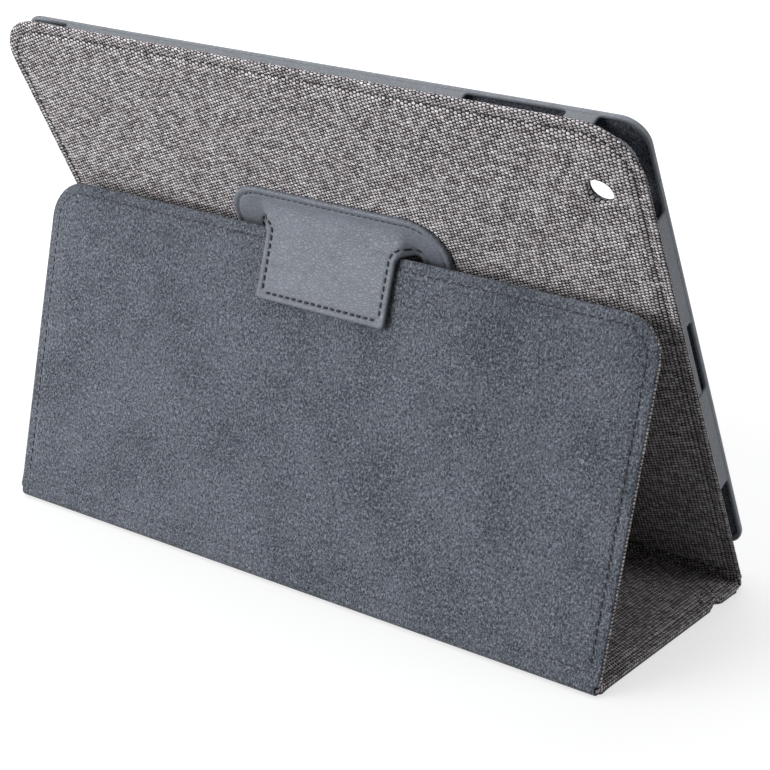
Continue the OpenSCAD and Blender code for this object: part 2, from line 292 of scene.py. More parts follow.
@dataclass
class Loop:
    """A closed outline of a sheet, drawn with the sheet on its left."""

    points: Points
    edge: float  # how far in from the outline the sheet's edge is rounded

    def normals(self) -> Points:
        """Directions into the sheet at each point."""
        ahead = np.roll(self.points, -1, axis=0) - np.roll(self.points, 1, axis=0)
        return np.stack([-ahead[:, 1], ahead[:, 0]], axis=-1) / np.linalg.norm(ahead, axis=1)[:, None]

    def nearest(self, at: Points) -> tuple[Points, Points]:
        """Finds the nearest place on the outline.

        Args:
            at: The points that it is found for.

        Returns:
            Each point's distance from the outline, and the nearest place on it.
        """
        best = np.full(len(at), np.inf)
        place = np.zeros_like(at)
        for start, end in zip(self.points, np.roll(self.points, -1, axis=0)):
            run = end - start
            share = np.clip((at - start) @ run / max(run @ run, TINY), 0.0, 1.0)
            foot = start + share[:, None] * run
            away = np.linalg.norm(at - foot, axis=1)
            closer = away < best
            best[closer] = away[closer]
            place[closer] = foot[closer]
        return best, place

    def holds(self, at: Points) -> np.ndarray:
        """Which points lie inside the outline, by how often a line from each crosses it.

        Args:
            at: The points that are tested.

        Returns:
            True for each point that lies inside.
        """
        inside = np.zeros(len(at), bool)
        for (ax, ay), (bx, by) in zip(self.points, np.roll(self.points, -1, axis=0)):
            if ay == by:
                continue
            crosses = (ay > at[:, 1]) != (by > at[:, 1])
            reach = ax + (at[:, 1] - ay) / (by - ay) * (bx - ax)
            inside ^= crosses & (at[:, 0] < reach)
        return inside


def rounded(corners: list[Corner], edge: float, step: float = 2.0, arc_step: float = 12.0) -> Loop:
    """Rounds the corners of a polygon and splits its straight stretches.

    Args:
        corners: The polygon, counter-clockwise.
        edge: The loop's edge rounding.
        step: Longest stretch between two points on a straight side.
        arc_step: Angle between two points on an arc, in degrees.

    Returns:
        The loop.
    """
    points: list[np.ndarray] = []
    count = len(corners)
    for i, corner in enumerate(corners):
        here = np.array([corner.x, corner.s])
        before = np.array([corners[i - 1].x, corners[i - 1].s]) - here
        after = np.array([corners[(i + 1) % count].x, corners[(i + 1) % count].s]) - here
        before /= np.linalg.norm(before)
        after /= np.linalg.norm(after)
        opening = math.acos(float(np.clip(before @ after, -1.0, 1.0)))
        back_off = corner.radius / math.tan(opening / 2)
        middle = (before + after) / np.linalg.norm(before + after)
        centre = here + middle * corner.radius / math.sin(opening / 2)
        first = here + before * back_off - centre
        last = here + after * back_off - centre
        turn = math.atan2(first[0] * last[1] - first[1] * last[0], first @ last)
        parts = max(2, round(abs(math.degrees(turn)) / arc_step))
        points.extend(centre + spun(first, turn * k / parts) for k in range(parts + 1))
    dense: list[np.ndarray] = []
    for start, end in zip(points, points[1:] + points[:1]):
        length = float(np.linalg.norm(end - start))
        if length < NEAR:
            continue
        parts = max(1, math.ceil(length / step))
        dense.extend(start + (end - start) * k / parts for k in range(parts))
    return Loop(np.array(dense), edge)


def panel_loop(width: float, s0: float, s1: float, r0: float, r1: float, edge: float) -> Loop:
    """Outline of a panel with two corner radii at its start and two at its end."""
    corners = [(-0.5, s0, r0), (0.5, s0, r0), (0.5, s1, r1), (-0.5, s1, r1)]
    return rounded([Corner(side * width, s, r) for side, s, r in corners], edge)


def round_hole(x: float, s: float, radius: float, edge: float, count: int = 36) -> Loop:
    """A round hole in a sheet."""
    turns = np.linspace(0.0, -2 * math.pi, count, endpoint=False)
    return Loop(np.stack([x + radius * np.cos(turns), s + radius * np.sin(turns)], axis=-1), edge)


# ---- Sheets ----

# Rings of points: turns into a rounded edge in degrees, and places across a groove in its widths
EDGE_TURNS = (22, 42, 62, 90)
GROOVE_PLACES = (-2.6, -1.5, -0.8, 0.0, 0.8, 1.5, 2.6)
GROOVE_CLEAR = 0.25  # least distance from the rounded edge to a groove's ring
PLAIN_RING = 0.8  # distance from the rounded edge to the last ring where there is no groove
RING_CLEAR = 0.93  # share of a ring's offset that its points keep from their loop
LINE_CLEAR = 0.985  # share of a stitch line's inset that its points keep from the outline

# The grid of points between the rings
ROW_STEP = 0.87  # step of its rows in columns, for nearly equilateral triangles
GRID_CLEAR = 0.45  # least distance from the rings, in cells
GRID_CELL = 2.5  # widest cell that counts for that distance
FILL_WHOLE = 1  # asks for triangles all over the points' hull
POINT_NEAR = 1e-5  # points nearer than this are taken as one

# Slow waves in a sheet: their lengths across and up, their place in the noise, and the distance from
# the edge at which they have their full height
WAVE_ACROSS, WAVE_UP, WAVE_PLACE, WAVE_FULL = 46.0, 38.0, 3.7, 12.0
RIM_FADE = 1.5  # widths of the groove over which the rim's shift comes in
WRAP_NEAR = 3.0  # how near the edge the cloth is counted round it


@dataclass(frozen=True)
class Groove:
    """A line that a row of stitches pulls into a sheet."""

    inset: float = STITCH_INSET  # distance from the outline
    depth: float = 0.25  # how deep the thread pulls the sheet in
    width: float = 0.55  # half width of the pulled-in strip


@dataclass
class Sheet:
    """A closed sheet with rounded edges, over an outline and any holes."""

    outer: Loop
    bottom: float  # n of the face that lies lower in n
    thickness: float
    holes: list[Loop] = field(default_factory=list)  # loops cut out of it
    cell: float = 4.0  # spacing of the points between the edges
    # stitch line pulled into the low face and the high face, where it has one
    groove: Optional[Groove] = None
    # says how much of the groove there is, from 0 to 1, at x and s
    groove_keep: Callable[[Points], Points] = lambda at: np.ones(len(at))
    swell: float = 0.0  # height of the slow waves in both faces
    wrap_from_low: bool = True  # whether the cloth pattern is counted from the low face
    # how far the low face and the high face are moved in n outside the groove
    rim: tuple[float, float] = (0.0, 0.0)

    def ring_offsets(self, edge: float) -> list[float]:
        """Distances in from a loop at which the sheet has a ring of points.

        Args:
            edge: Rounding of the loop's edge.

        Returns:
            The distances.
        """
        offsets = [edge * (1 - math.cos(math.radians(a))) for a in EDGE_TURNS]
        if self.groove is None:
            return offsets + [edge + PLAIN_RING]
        across = [self.groove.inset + k * self.groove.width for k in GROOVE_PLACES]
        return offsets + [offset for offset in across if offset > edge + GROOVE_CLEAR]

    def triangles(self) -> tuple[Points, list[tuple[int, ...]], int]:
        """Fills the flat sheet with triangles.

        Returns:
            Its points, those on its loops first, its triangles, and how many points lie on its loops.
        """
        loops = [self.outer] + self.holes
        border = np.concatenate([loop.points for loop in loops])
        edges: list[tuple[int, int]] = []
        start = 0
        for loop in loops:
            size = len(loop.points)
            edges += [(start + i, start + (i + 1) % size) for i in range(size)]
            start += size
        inner: list[Points] = []
        for loop in loops:
            for offset in self.ring_offsets(loop.edge):
                ring = loop.points + loop.normals() * offset
                clear = self.outer.holds(ring)
                for other in loops:
                    away, _ = other.nearest(ring)
                    clear &= away > (offset if other is loop else other.edge) * RING_CLEAR
                inner.append(ring[clear])
        low, high = self.outer.points.min(axis=0), self.outer.points.max(axis=0)
        xs = np.arange(low[0], high[0], self.cell)
        rows = np.arange(low[1], high[1], self.cell * ROW_STEP)
        grid = np.array([(x + (i % 2) * self.cell / 2, s) for i, s in enumerate(rows) for x in xs])
        clear = self.outer.holds(grid)
        for loop in loops:
            away, _ = loop.nearest(grid)
            room = GRID_CLEAR * min(self.cell, GRID_CELL)
            clear &= away > max(self.ring_offsets(loop.edge)) + room
            if loop is not self.outer:
                clear &= ~loop.holds(grid)
        inner.append(grid[clear])
        flat = np.concatenate([border] + inner)
        found = delaunay_2d_cdt([Vector(p) for p in flat], edges, [], FILL_WHOLE, POINT_NEAR)
        at = np.array([tuple(v) for v in found[0]])
        where = {origin: i for i, group in enumerate(found[3]) for origin in group}
        order = [where[i] for i in range(len(border))]
        taken = set(order)
        rest = [i for i in range(len(at)) if i not in taken]
        renumber = {old: new for new, old in enumerate(order + rest)}
        at = at[order + rest]
        faces = [tuple(renumber[i] for i in face) for face in found[2]]
        middles = np.array([at[list(face)].mean(axis=0) for face in faces])
        keep = self.outer.holds(middles)
        for hole in self.holes:
            keep &= ~hole.holds(middles)
        return at, [face for face, kept in zip(faces, keep) if kept], len(order)

    def build(self, name: str, placement: Placement) -> bpy.types.Object:
        """Makes the sheet's object.

        Args:
            name: The object's name.
            placement: Where the sheet lies.

        Returns:
            The object, with its cloth coordinates.
        """
        at, faces, on_border = self.triangles()
        half = self.thickness / 2
        full = np.ones(len(at))
        out = np.zeros_like(at)
        start = 0
        outer_away = None
        edge_here = np.full(len(at), self.outer.edge)
        nearest_away = np.full(len(at), np.inf)
        for loop in [self.outer] + self.holes:
            away, foot = loop.nearest(at)
            size = len(loop.points)
            away[start : start + size] = 0.0
            direction = (foot - at) / np.maximum(away, TINY)[:, None]
            direction[start : start + size] = -loop.normals()
            start += size
            if outer_away is None:
                outer_away = away
            share = np.clip((loop.edge - away) / loop.edge, 0.0, 1.0)
            full = np.minimum(full, np.sqrt(np.maximum(0.0, 1.0 - share**2)))
            closer = away < nearest_away
            nearest_away[closer] = away[closer]
            out[closer] = direction[closer]
            edge_here[closer] = loop.edge
        # Length of cloth from where the edge starts to round off, over the quarter round
        turn = np.arccos(np.clip(1.0 - nearest_away / edge_here, 0.0, 1.0))
        quarter = math.pi / 2 * (edge_here + half) / 2
        past = quarter * (1.0 - turn / (math.pi / 2)) * (nearest_away < edge_here)
        wave = np.zeros(len(at))
        if self.swell:
            spots = [Vector((x / WAVE_ACROSS, s / WAVE_UP, WAVE_PLACE)) for x, s in at]
            wave = self.swell * np.array([noise.noise(spot) for spot in spots])
            wave *= np.clip(outer_away / WAVE_FULL, 0.0, 1.0)
        pull = np.zeros(len(at))
        margin = np.zeros(len(at))
        if self.groove is not None:
            g = self.groove
            kept = self.groove_keep(at)
            pull = g.depth * np.exp(-(((outer_away - g.inset) / g.width) ** 2)) * kept
            margin = np.clip((g.inset - outer_away) / (RIM_FADE * g.width), 0.0, 1.0) * kept
        middle = self.bottom + half + wave + margin * sum(self.rim) / 2
        fat = (half + margin * (self.rim[1] - self.rim[0]) / 2) * full
        low = middle - fat + pull
        high = middle + fat - pull
        # Both faces share the points on the loops
        count = len(at)
        lower_index = list(range(on_border)) + [i + count - on_border for i in range(on_border, count)]
        x = np.concatenate([at[:, 0], at[on_border:, 0]])
        s = np.concatenate([at[:, 1], at[on_border:, 1]])
        n = np.concatenate([high, low[on_border:]])
        n[:on_border] = middle[:on_border]
        world = placement.place(x, s, n) * MM
        all_faces = faces + [tuple(lower_index[i] for i in reversed(face)) for face in faces]
        # The cloth runs from one face round the edge to the other, so its pattern doesn't break there
        tangent = at - out * np.maximum(edge_here - nearest_away, 0.0)[:, None]
        near_side = tangent + out * past[:, None]
        beyond = 2 * quarter + nearest_away - edge_here
        far = np.where(nearest_away < edge_here, 2 * quarter - past, beyond)
        far_side = np.where(
            (nearest_away < WRAP_NEAR)[:, None],
            at + out * (np.minimum(nearest_away, edge_here) - edge_here)[:, None] + out * far[:, None],
            at,
        )
        cloth_high = far_side if self.wrap_from_low else near_side
        cloth_low = near_side if self.wrap_from_low else far_side
        cloth = np.concatenate([cloth_high, cloth_low[on_border:]])
        cloth[:on_border] = near_side[:on_border]
        return make_object(name, world, all_faces, cloth)


def make_object(
    name: str, world: Points, faces: list[tuple[int, ...]], cloth: Points
) -> bpy.types.Object:
    """Makes a smooth mesh object with its cloth coordinates.

    Args:
        name: The object's name.
        world: Its points in metres.
        faces: Its faces.
        cloth: Two cloth coordinates in millimetres for each point.

    Returns:
        The object.
    """
    mesh = bpy.data.meshes.new(name)
    mesh.from_pydata([tuple(p) for p in world], [], faces)
    attribute = mesh.attributes.new("cloth", "FLOAT_VECTOR", "POINT")
    flat = np.zeros((len(world), 3), np.float32)
    flat[:, :2] = cloth
    attribute.data.foreach_set("vector", flat.ravel())
    mesh.update()
    mesh.validate()
    piece = bpy.data.objects.new(name, mesh)
    bpy.context.scene.collection.objects.link(piece)
    face_outward(mesh)
    mesh.polygons.foreach_set("use_smooth", [True] * len(mesh.polygons))
    return piece


def face_outward(mesh: bpy.types.Mesh) -> None:
    """Turns a closed mesh's faces outward.

    Args:
        mesh: The mesh.
    """
    work = bmesh.new()
    work.from_mesh(mesh)
    bmesh.ops.recalc_face_normals(work, faces=work.faces)
    work.to_mesh(mesh)
    work.free()


def tube_faces(rings: int, size: int, first: int = 0, closed: bool = False) -> list[tuple[int, ...]]:
    """Faces between rings of points that are stored one after the other.

    Args:
        rings: How many rings there are.
        size: How many points each ring has.
        first: Number of the first ring's first point.
        closed: Whether the last ring is joined to the first.

    Returns:
        The faces.
    """
    faces = []
    for k in range(rings if closed else rings - 1):
        here, after = first + k * size, first + (k + 1) % rings * size
        for i in range(size):
            j = (i + 1) % size
            faces.append((here + i, here + j, after + j, after + i))
    return faces


# ---- Stitches ----


@dataclass(frozen=True)
class StitchRow:
    """A row of stitches along a line."""

    pitch: float = 3.0
    length: float = 2.0
    radius: float = 0.22  # radius of the thread
    slant: float = 6.0  # angle of each stitch across the line, in degrees
    spread: float = 2.5  # how much that angle varies, in degrees
    sides: int = 8  # number of points round the thread
    # where a stitch has rings of points, from one end at -1 to the other at 1
    places: tuple[float, ...] = (-1.0, -0.86, -0.5, 0.0, 0.5, 0.86, 1.0)
    tip: float = 0.06  # least share of the thread's section at its ends, where it dives into the sheet

    def build(self, name: str, lines: list[Points], placement: Placement, n: float) -> bpy.types.Object:
        """Makes one object with all stitches of the row.

        Args:
            name: The object's name.
            lines: Open polylines in sheet coordinates.
            placement: Where the sheet lies.
            n: Height of the thread's middle.

        Returns:
            The object.
        """
        rng = np.random.default_rng(SEED)
        points: list[tuple[float, ...]] = []
        faces: list[tuple[int, ...]] = []
        cloth: list[tuple[float, float]] = []
        for line in lines:
            reach = reach_along(line)
            count = int(reach[-1] // self.pitch)
            spare = (reach[-1] - count * self.pitch) / 2
            for k in range(count):
                middle = spare + (k + 0.5) * self.pitch
                at = read_off(line, reach, middle)
                before, after = read_off(line, reach, middle + np.array([-0.5, 0.5]))
                ahead = (after - before) / max(np.linalg.norm(after - before), TINY)
                ahead = spun(ahead, math.radians(self.slant + rng.normal(0.0, self.spread)))
                side = np.array([-ahead[1], ahead[0]])
                first = len(points)
                for t in self.places:
                    fat = self.radius * math.sqrt(max(self.tip, 1.0 - t**4))
                    for i in range(self.sides):
                        turn = 2 * math.pi * i / self.sides
                        flat = at + ahead * t * self.length / 2 + side * fat * math.cos(turn)
                        points.append((*flat, n + fat * math.sin(turn)))
                        cloth.append((t * self.length / 2, turn * self.radius))
                faces += tube_faces(len(self.places), self.sides, first)
                last = first + (len(self.places) - 1) * self.sides
                faces.append(tuple(first + i for i in reversed(range(self.sides))))
                faces.append(tuple(last + i for i in range(self.sides)))
        x, s, heights = np.array(points).T
        return make_object(name, placement.place(x, s, heights) * MM, faces, np.array(cloth))


def inset_line(loop: Loop, inset: float, keep: Callable[[Points], Points]) -> list[Points]:
    """Lines at a distance inside a loop.

    Args:
        loop: The outline.
        inset: Distance from it.
        keep: Says which points of the line are wanted, as 1 or 0.

    Returns:
        Open polylines.
    """
    line = loop.points + loop.normals() * inset
    away, _ = loop.nearest(line)
    wanted = (away > inset * LINE_CLEAR) & (keep(line) > 0.5)
    start = next((i for i in range(len(line)) if wanted[i] and not wanted[i - 1]), 0)
    lines: list[Points] = []
    current: list[np.ndarray] = []
    for i in list(range(start, len(line))) + list(range(start)):
        if wanted[i]:
            current.append(line[i])
        elif current:
            lines.append(np.array(current))
            current = []
    if current:
        lines.append(np.array(current))
    return [found for found in lines if len(found) > 1]


# ---- Finishes ----


def linear(hex_colour: str) -> tuple[float, float, float, float]:
    """Linear colour of an sRGB hex value, by the sRGB curve and its straight foot."""
    parts = [int(hex_colour[i : i + 2], 16) / 255 for i in (1, 3, 5)]
    return (*[c / 12.92 if c <= 0.04045 else ((c + 0.055) / 1.055) ** 2.4 for c in parts], 1.0)


class Graph:
    """The nodes of a material or the world while they are drawn."""

    def __init__(
        self, owner: bpy.types.ID, shader: str = "BsdfPrincipled", output: str = "OutputMaterial"
    ) -> None:
        """Empties the owner's tree and gives it a shader that leads to an output.

        Args:
            owner: The material or the world.
            shader: The shader's type, without its prefix.
            output: The output node's type.
        """
        owner.use_nodes = True
        self.tree = owner.node_tree
        self.tree.nodes.clear()
        self.shader = self.add(shader)
        self.add(output, self.shader)

    def add(self, kind: str, *values: object, **settings: object) -> bpy.types.Node:
        """Adds a node with its settings and links.

        Args:
            kind: The node's type, without its ShaderNode prefix.
            *values: What its inputs get, in their order: a node, a socket, a number, a vector or a hex
                colour.
            **settings: Inputs by name, with a capital and with underscores for spaces, and the node's
                own properties.

        Returns:
            The node.
        """
        node = self.tree.nodes.new("ShaderNode" + kind)
        wanted: dict[object, object] = dict(enumerate(values))
        for key, value in settings.items():
            if key[0].isupper():
                wanted[key.replace("_", " ")] = value
            else:
                setattr(node, key, value)
        self.fill(node, wanted)
        return node

    def fill(self, node: bpy.types.Node, wanted: dict) -> None:
        """Links or sets a node's inputs, by number or name.

        Args:
            node: The node.
            wanted: What each input gets, by its number or name.
        """
        for key, value in wanted.items():
            if isinstance(value, bpy.types.Node):
                value = value.outputs[0]
            if isinstance(value, bpy.types.NodeSocket):
                self.tree.links.new(value, node.inputs[key])
            else:
                node.inputs[key].default_value = linear(value) if isinstance(value, str) else value

    def dress(self, **sockets: object) -> None:
        """Links or sets the shader's sockets, with underscores for the spaces in their names."""
        self.fill(self.shader, {key.replace("_", " "): value for key, value in sockets.items()})


class Finish:
    """Base of the finishes: its name, and the record's slot that it stands for."""

    name: str
    slot: Slot

    def surface(self, g: Graph) -> None:
        """Draws the finish's nodes."""
        raise NotImplementedError

    def make(self) -> bpy.types.Material:
        """Makes the material, or returns the one made before.

        Returns:
            The material.
        """
        made = bpy.data.materials.get(self.name)
        if made is None:
            made = bpy.data.materials.new(self.name)
            self.surface(Graph(made))
        return made


@dataclass(frozen=True)
class WovenTweed(Finish):
    """Plain-weave tweed of pale weft floats over a dark brown-black warp, woven on a loom.

    Each weft float is a pale bead between dark warp yarns, and beads of neighbouring columns are
    staggered. Wool scatters light without gloss, so it is rough, with a little sheen from its fuzz.
    A noise's scale is its waves in a millimetre.
    """

    name: str = "woven_tweed"
    slot: Slot = Slot.TWEED
    column: float = 1.366  # spacing of the columns of beads
    row: float = 1.22  # spacing of the beads in a column
    ground: str = "#161417"
    ground_pale: str = "#3a3639"
    bead: str = "#e6dfe2"
    bead_pale: str = "#ffffff"
    bead_dull: str = "#bfb6ba"
    sway: float = 0.8  # how far the yarns stray in slow waves
    fray: float = 0.26  # how far they stray in short waves
    bead_r: float = 0.365  # radius of a thin bead, in spacings
    bead_spread: float = 0.1  # how much fatter a bead gets by chance, or in a thick place
    slub_tone: float = 0.6  # how pale the thick places are
    patch: float = 0.14  # how dark the darkest patches of the cloth are
    relief: float = 0.34  # height of the beads

    def surface(self, g: Graph) -> None:
        """Draws the weave, its slubs and its relief.

        Args:
            g: The material's nodes.
        """
        add = g.add
        cloth = add("Attribute", attribute_name="cloth").outputs["Vector"]
        sway = add("TexNoise", Vector=cloth, Scale=0.16, Detail=2.0).outputs["Color"]
        fray = add("TexNoise", Vector=cloth, Scale=0.9, Detail=1.0).outputs["Color"]
        sway = add("VectorMath", sway, (self.sway, self.sway, 0.0), operation="MULTIPLY")
        fray = add("VectorMath", fray, (self.fray, self.fray, 0.0), operation="MULTIPLY")
        moved = add("VectorMath", add("VectorMath", cloth, sway), fray)
        parts = add("SeparateXYZ", moved)
        u = add("Math", parts.outputs[0], self.column, operation="DIVIDE")
        column = add("Math", u, operation="FLOOR")
        odd = add("Math", column, 2.0, operation="FLOORED_MODULO")
        v = add("Math", parts.outputs[1], self.row, operation="DIVIDE")
        v = add("Math", odd, 0.5, v, operation="MULTIPLY_ADD")
        row = add("Math", v, operation="FLOOR")
        across = add("Math", add("Math", u, operation="FRACT"), 0.5, operation="SUBTRACT")
        along = add("Math", add("Math", v, operation="FRACT"), 0.5, operation="SUBTRACT")
        cell = add("CombineXYZ", column, row)
        chance = add("TexWhiteNoise", cell, noise_dimensions="2D")
        chances = add("SeparateColor", chance.outputs["Color"])
        # Thick places in the yarn: short pale streaks along the weft, and fewer along the warp
        weft = add("VectorMath", cloth, (0.16, 0.75, 1.0), operation="MULTIPLY")
        warp = add("VectorMath", cloth, (0.75, 0.16, 1.0), operation="MULTIPLY")
        weft = add("TexNoise", Vector=weft, Scale=1.0, Detail=2.0)
        warp = add("TexNoise", Vector=warp, Scale=1.0, Detail=2.0)
        weft = add("MapRange", weft, 0.62, 0.74, interpolation_type="SMOOTHSTEP")
        warp = add("MapRange", warp, 0.64, 0.78, interpolation_type="SMOOTHSTEP")
        slub = add("Math", weft, warp, operation="MAXIMUM")
        # A bead is an oval, fatter where the yarn is thick
        size = add("Math", chances.outputs[0], self.bead_spread, self.bead_r, operation="MULTIPLY_ADD")
        size = add("Math", slub, self.bead_spread, size, operation="MULTIPLY_ADD")
        oval = add("CombineXYZ", across, along)
        oval = add("VectorMath", oval, (0.86, 1.04, 0.0), operation="MULTIPLY")
        oval = add("VectorMath", oval, operation="LENGTH").outputs["Value"]
        ratio = add("Math", oval, size, operation="DIVIDE")
        bead = add("MapRange", ratio, 0.66, 1.16, 1.0, 0.0, interpolation_type="SMOOTHSTEP")
        dome = add("Math", 1.0, ratio, operation="SUBTRACT", use_clamp=True)
        dome = add("Math", dome, 0.5, operation="POWER")
        # The dark warp yarns show between the beads as a dim lattice
        fuzz = add("TexNoise", Vector=cloth, Scale=3.2, Detail=3.0, Roughness=0.65)
        warp_yarn = add("Math", add("Math", u, math.pi, operation="MULTIPLY"), operation="SINE")
        warp_yarn = add("Math", add("Math", warp_yarn, operation="ABSOLUTE"), fuzz, operation="MULTIPLY")
        ground = add("MixRGB", warp_yarn, self.ground, self.ground_pale)
        bright = add("MapRange", chance.outputs["Value"], 0.1, 0.8)
        tone = add("MixRGB", bright, self.bead_dull, self.bead)
        bright = add("MapRange", chances.outputs[1], 0.7, 1.0)
        tone = add("MixRGB", bright, tone, self.bead_pale)
        thick = add("Math", slub, self.slub_tone, operation="MULTIPLY")
        tone = add("MixRGB", thick, tone, self.bead_pale)
        patch = add("TexNoise", Vector=cloth, Scale=0.05, Detail=3.0)
        patch = add("MapRange", patch, 0.3, 0.75, 0.0, self.patch)
        colour = add("MixRGB", patch, add("MixRGB", bead, ground, tone), self.ground)
        relief = add("Math", fuzz, 0.25, dome, operation="MULTIPLY_ADD")
        g.dress(
            Base_Color=colour,
            Roughness=add("MapRange", bead, 0.0, 1.0, 0.95, 0.78),
            Normal=add("Bump", Height=relief, Distance=self.relief * MM),
            Sheen_Weight=0.03,
            Sheen_Roughness=0.5,
            Specular_IOR_Level=0.1,
        )


@dataclass(frozen=True)
class NappedSuede(Finish):
    """Man-made suede: a microfibre sheet with a brushed nap.

    The nap lies in patches, which makes cloudy lighter and darker areas a few centimetres wide, and its
    fine fibres give a grain of about a millimetre. It has no gloss, only a soft sheen at a flat angle.
    """

    name: str = "napped_suede"
    slot: Slot = Slot.SUEDE
    body: str = "#61666f"
    body_dark: str = "#474d55"
    dark: str = "#22262c"
    pale: str = "#989da9"
    comb: float = 3.0  # how far the nap is combed aside
    relief: float = 0.4  # height of the fibres

    def surface(self, g: Graph) -> None:
        """Draws the nap's patches, its fibres and its relief.

        Args:
            g: The material's nodes.
        """
        add = g.add
        cloth = add("Attribute", attribute_name="cloth").outputs["Vector"]
        patch = add("TexNoise", Vector=cloth, Scale=0.035, Detail=3.0, Roughness=0.6)
        patch = add("MapRange", patch, 0.28, 0.66, interpolation_type="SMOOTHSTEP")
        comb = add("TexNoise", Vector=cloth, Scale=0.1, Detail=2.0).outputs["Color"]
        comb = add("VectorMath", comb, (self.comb, self.comb, 0.0), operation="MULTIPLY")
        nap = add("VectorMath", add("VectorMath", cloth, comb), (1.2, 0.9, 1.0), operation="MULTIPLY")
        fibre = add("TexNoise", Vector=nap, Scale=1.35, Detail=3.0, Roughness=0.75, Distortion=0.9)
        fine = add("TexNoise", Vector=cloth, Scale=3.4, Detail=2.0, Roughness=0.7)
        tuft = add("MapRange", fibre, 0.36, 0.64)
        tuft = add("Math", fine, 0.5, tuft, operation="MULTIPLY_ADD")
        tuft = add("Math", tuft, 0.25, operation="SUBTRACT", use_clamp=True)
        body = add("MixRGB", patch, self.body_dark, self.body)
        tone = add("MixRGB", add("MapRange", tuft, 0.0, 0.5, 0.9, 0.0), body, self.dark)
        tone = add("MixRGB", add("MapRange", tuft, 0.5, 1.0, 0.0, 0.9), tone, self.pale)
        relief = add("Math", fine, 0.4, fibre, operation="MULTIPLY_ADD")
        g.dress(
            Base_Color=tone,
            Roughness=0.96,
            Normal=add("Bump", Height=relief, Distance=self.relief * MM),
            Sheen_Weight=0.15,
            Sheen_Roughness=0.45,
            Specular_IOR_Level=0.15,
        )


@dataclass(frozen=True)
class GrainedLeather(Finish):
    """Coated split leather, embossed with a pebble grain by a heated roll.

    Fine creases separate pebbles a millimetre or two wide, longer across the hide, and the coat gives a
    soft satin gloss.
    """

    name: str = "grained_leather"
    slot: Slot = Slot.LEATHER
    body: str = "#787d87"
    # crease: painted shade in the creases between the pebbles
    crease: str = "#5f646d"
    pale: str = "#868b96"
    grain: float = 0.95  # width of a pebble
    depth: float = 0.11  # depth of the creases
    gloss: float = 0.4  # roughness of the pebbles
    crease_gloss: float = 0.14  # how much rougher the creases are
    stray: float = 2.4  # how far the grain strays from even rows

    def surface(self, g: Graph) -> None:
        """Draws the pebbles, the creases between them with painted shade, and the gloss.

        Args:
            g: The material's nodes.
        """
        add = g.add
        cloth = add("Attribute", attribute_name="cloth").outputs["Vector"]
        bend = add("TexNoise", Vector=cloth, Scale=0.35, Detail=2.0).outputs["Color"]
        bend = add("VectorMath", bend, (self.stray, self.stray, 0.0), operation="MULTIPLY")
        moved = add("VectorMath", cloth, bend)
        moved = add("VectorMath", moved, (0.62, 1.0, 1.0), operation="MULTIPLY")
        large = add("TexVoronoi", Vector=moved, Scale=1.0 / self.grain, feature="DISTANCE_TO_EDGE")
        small = add("TexVoronoi", Vector=moved, Scale=2.3 / self.grain, feature="DISTANCE_TO_EDGE")
        large = add("MapRange", large, 0.0, 0.16, 0.0, 0.65, interpolation_type="SMOOTHSTEP")
        small = add("MapRange", small, 0.0, 0.14, 0.0, 0.35, interpolation_type="SMOOTHSTEP")
        pebble = add("Math", large, small)
        wear = add("TexNoise", Vector=cloth, Scale=0.09, Detail=3.0)
        wear = add("MapRange", wear, 0.4, 0.8, 0.0, 0.35)
        # The creases are painted darker than the pebbles, as shade
        tone = add("MixRGB", pebble, self.crease, self.body)
        tone = add("MixRGB", wear, tone, self.pale)
        pores = add("TexNoise", Vector=cloth, Scale=5.0, Detail=2.0)
        relief = add("Math", pores, 0.2, pebble, operation="MULTIPLY_ADD")
        g.dress(
            Base_Color=tone,
            Roughness=add("MapRange", pebble, 0.0, 1.0, self.gloss + self.crease_gloss, self.gloss),
            Normal=add("Bump", Height=relief, Distance=self.depth * MM),
            IOR=1.5,
            Specular_IOR_Level=0.4,
        )


@dataclass(frozen=True)
class SmoothLeather(GrainedLeather):
    """The same coated leather with a finer grain, skived thin for the frame."""

    name: str = "smooth_leather"
    body: str = "#767b82"
    # crease: painted shade in the creases between the pebbles, as in GrainedLeather
    crease: str = "#666a71"
    pale: str = "#868b92"
    grain: float = 0.7
    depth: float = 0.05
    gloss: float = 0.46


@dataclass(frozen=True)
class WaxedThread(Finish):
    """Waxed black polyester thread of two twisted plies, with painted shade in the grooves between them."""

    name: str = "waxed_thread"
    slot: Slot = Slot.THREAD
    # light and dark are one black thread with painted shade: dark in the grooves between the plies, light on their
    # crests
    light: str = "#24252a"
    dark: str = "#0b0b0e"
    twist: float = 0.55  # length of a twist
    depth: float = 0.06  # depth between the plies

    def surface(self, g: Graph) -> None:
        """Draws the twist of the plies, with painted shade in the grooves between them and a lighter tone on their
        crests.

        Args:
            g: The material's nodes.
        """
        add = g.add
        parts = add("SeparateXYZ", add("Attribute", attribute_name="cloth").outputs["Vector"])
        run = add("Math", parts.outputs[0], parts.outputs[1])
        run = add("Math", run, 2 * math.pi / self.twist, operation="MULTIPLY")
        ply = add("Math", add("Math", run, operation="SINE"), 0.5, 0.5, operation="MULTIPLY_ADD")
        # The colour follows the plies' height: painted shade in the grooves and a lighter tone on the crests
        g.dress(
            Base_Color=add("MixRGB", ply, self.dark, self.light),
            Roughness=0.5,
            Normal=add("Bump", Height=ply, Distance=self.depth * MM),
            Specular_IOR_Level=0.4,
        )


@dataclass(frozen=True)
class TonedThread(WaxedThread):
    """The same thread dyed to match the leather."""

    name: str = "toned_thread"
    # light and dark: painted shade in the grooves between the plies, as in WaxedThread
    light: str = "#3c3f46"
    dark: str = "#202228"


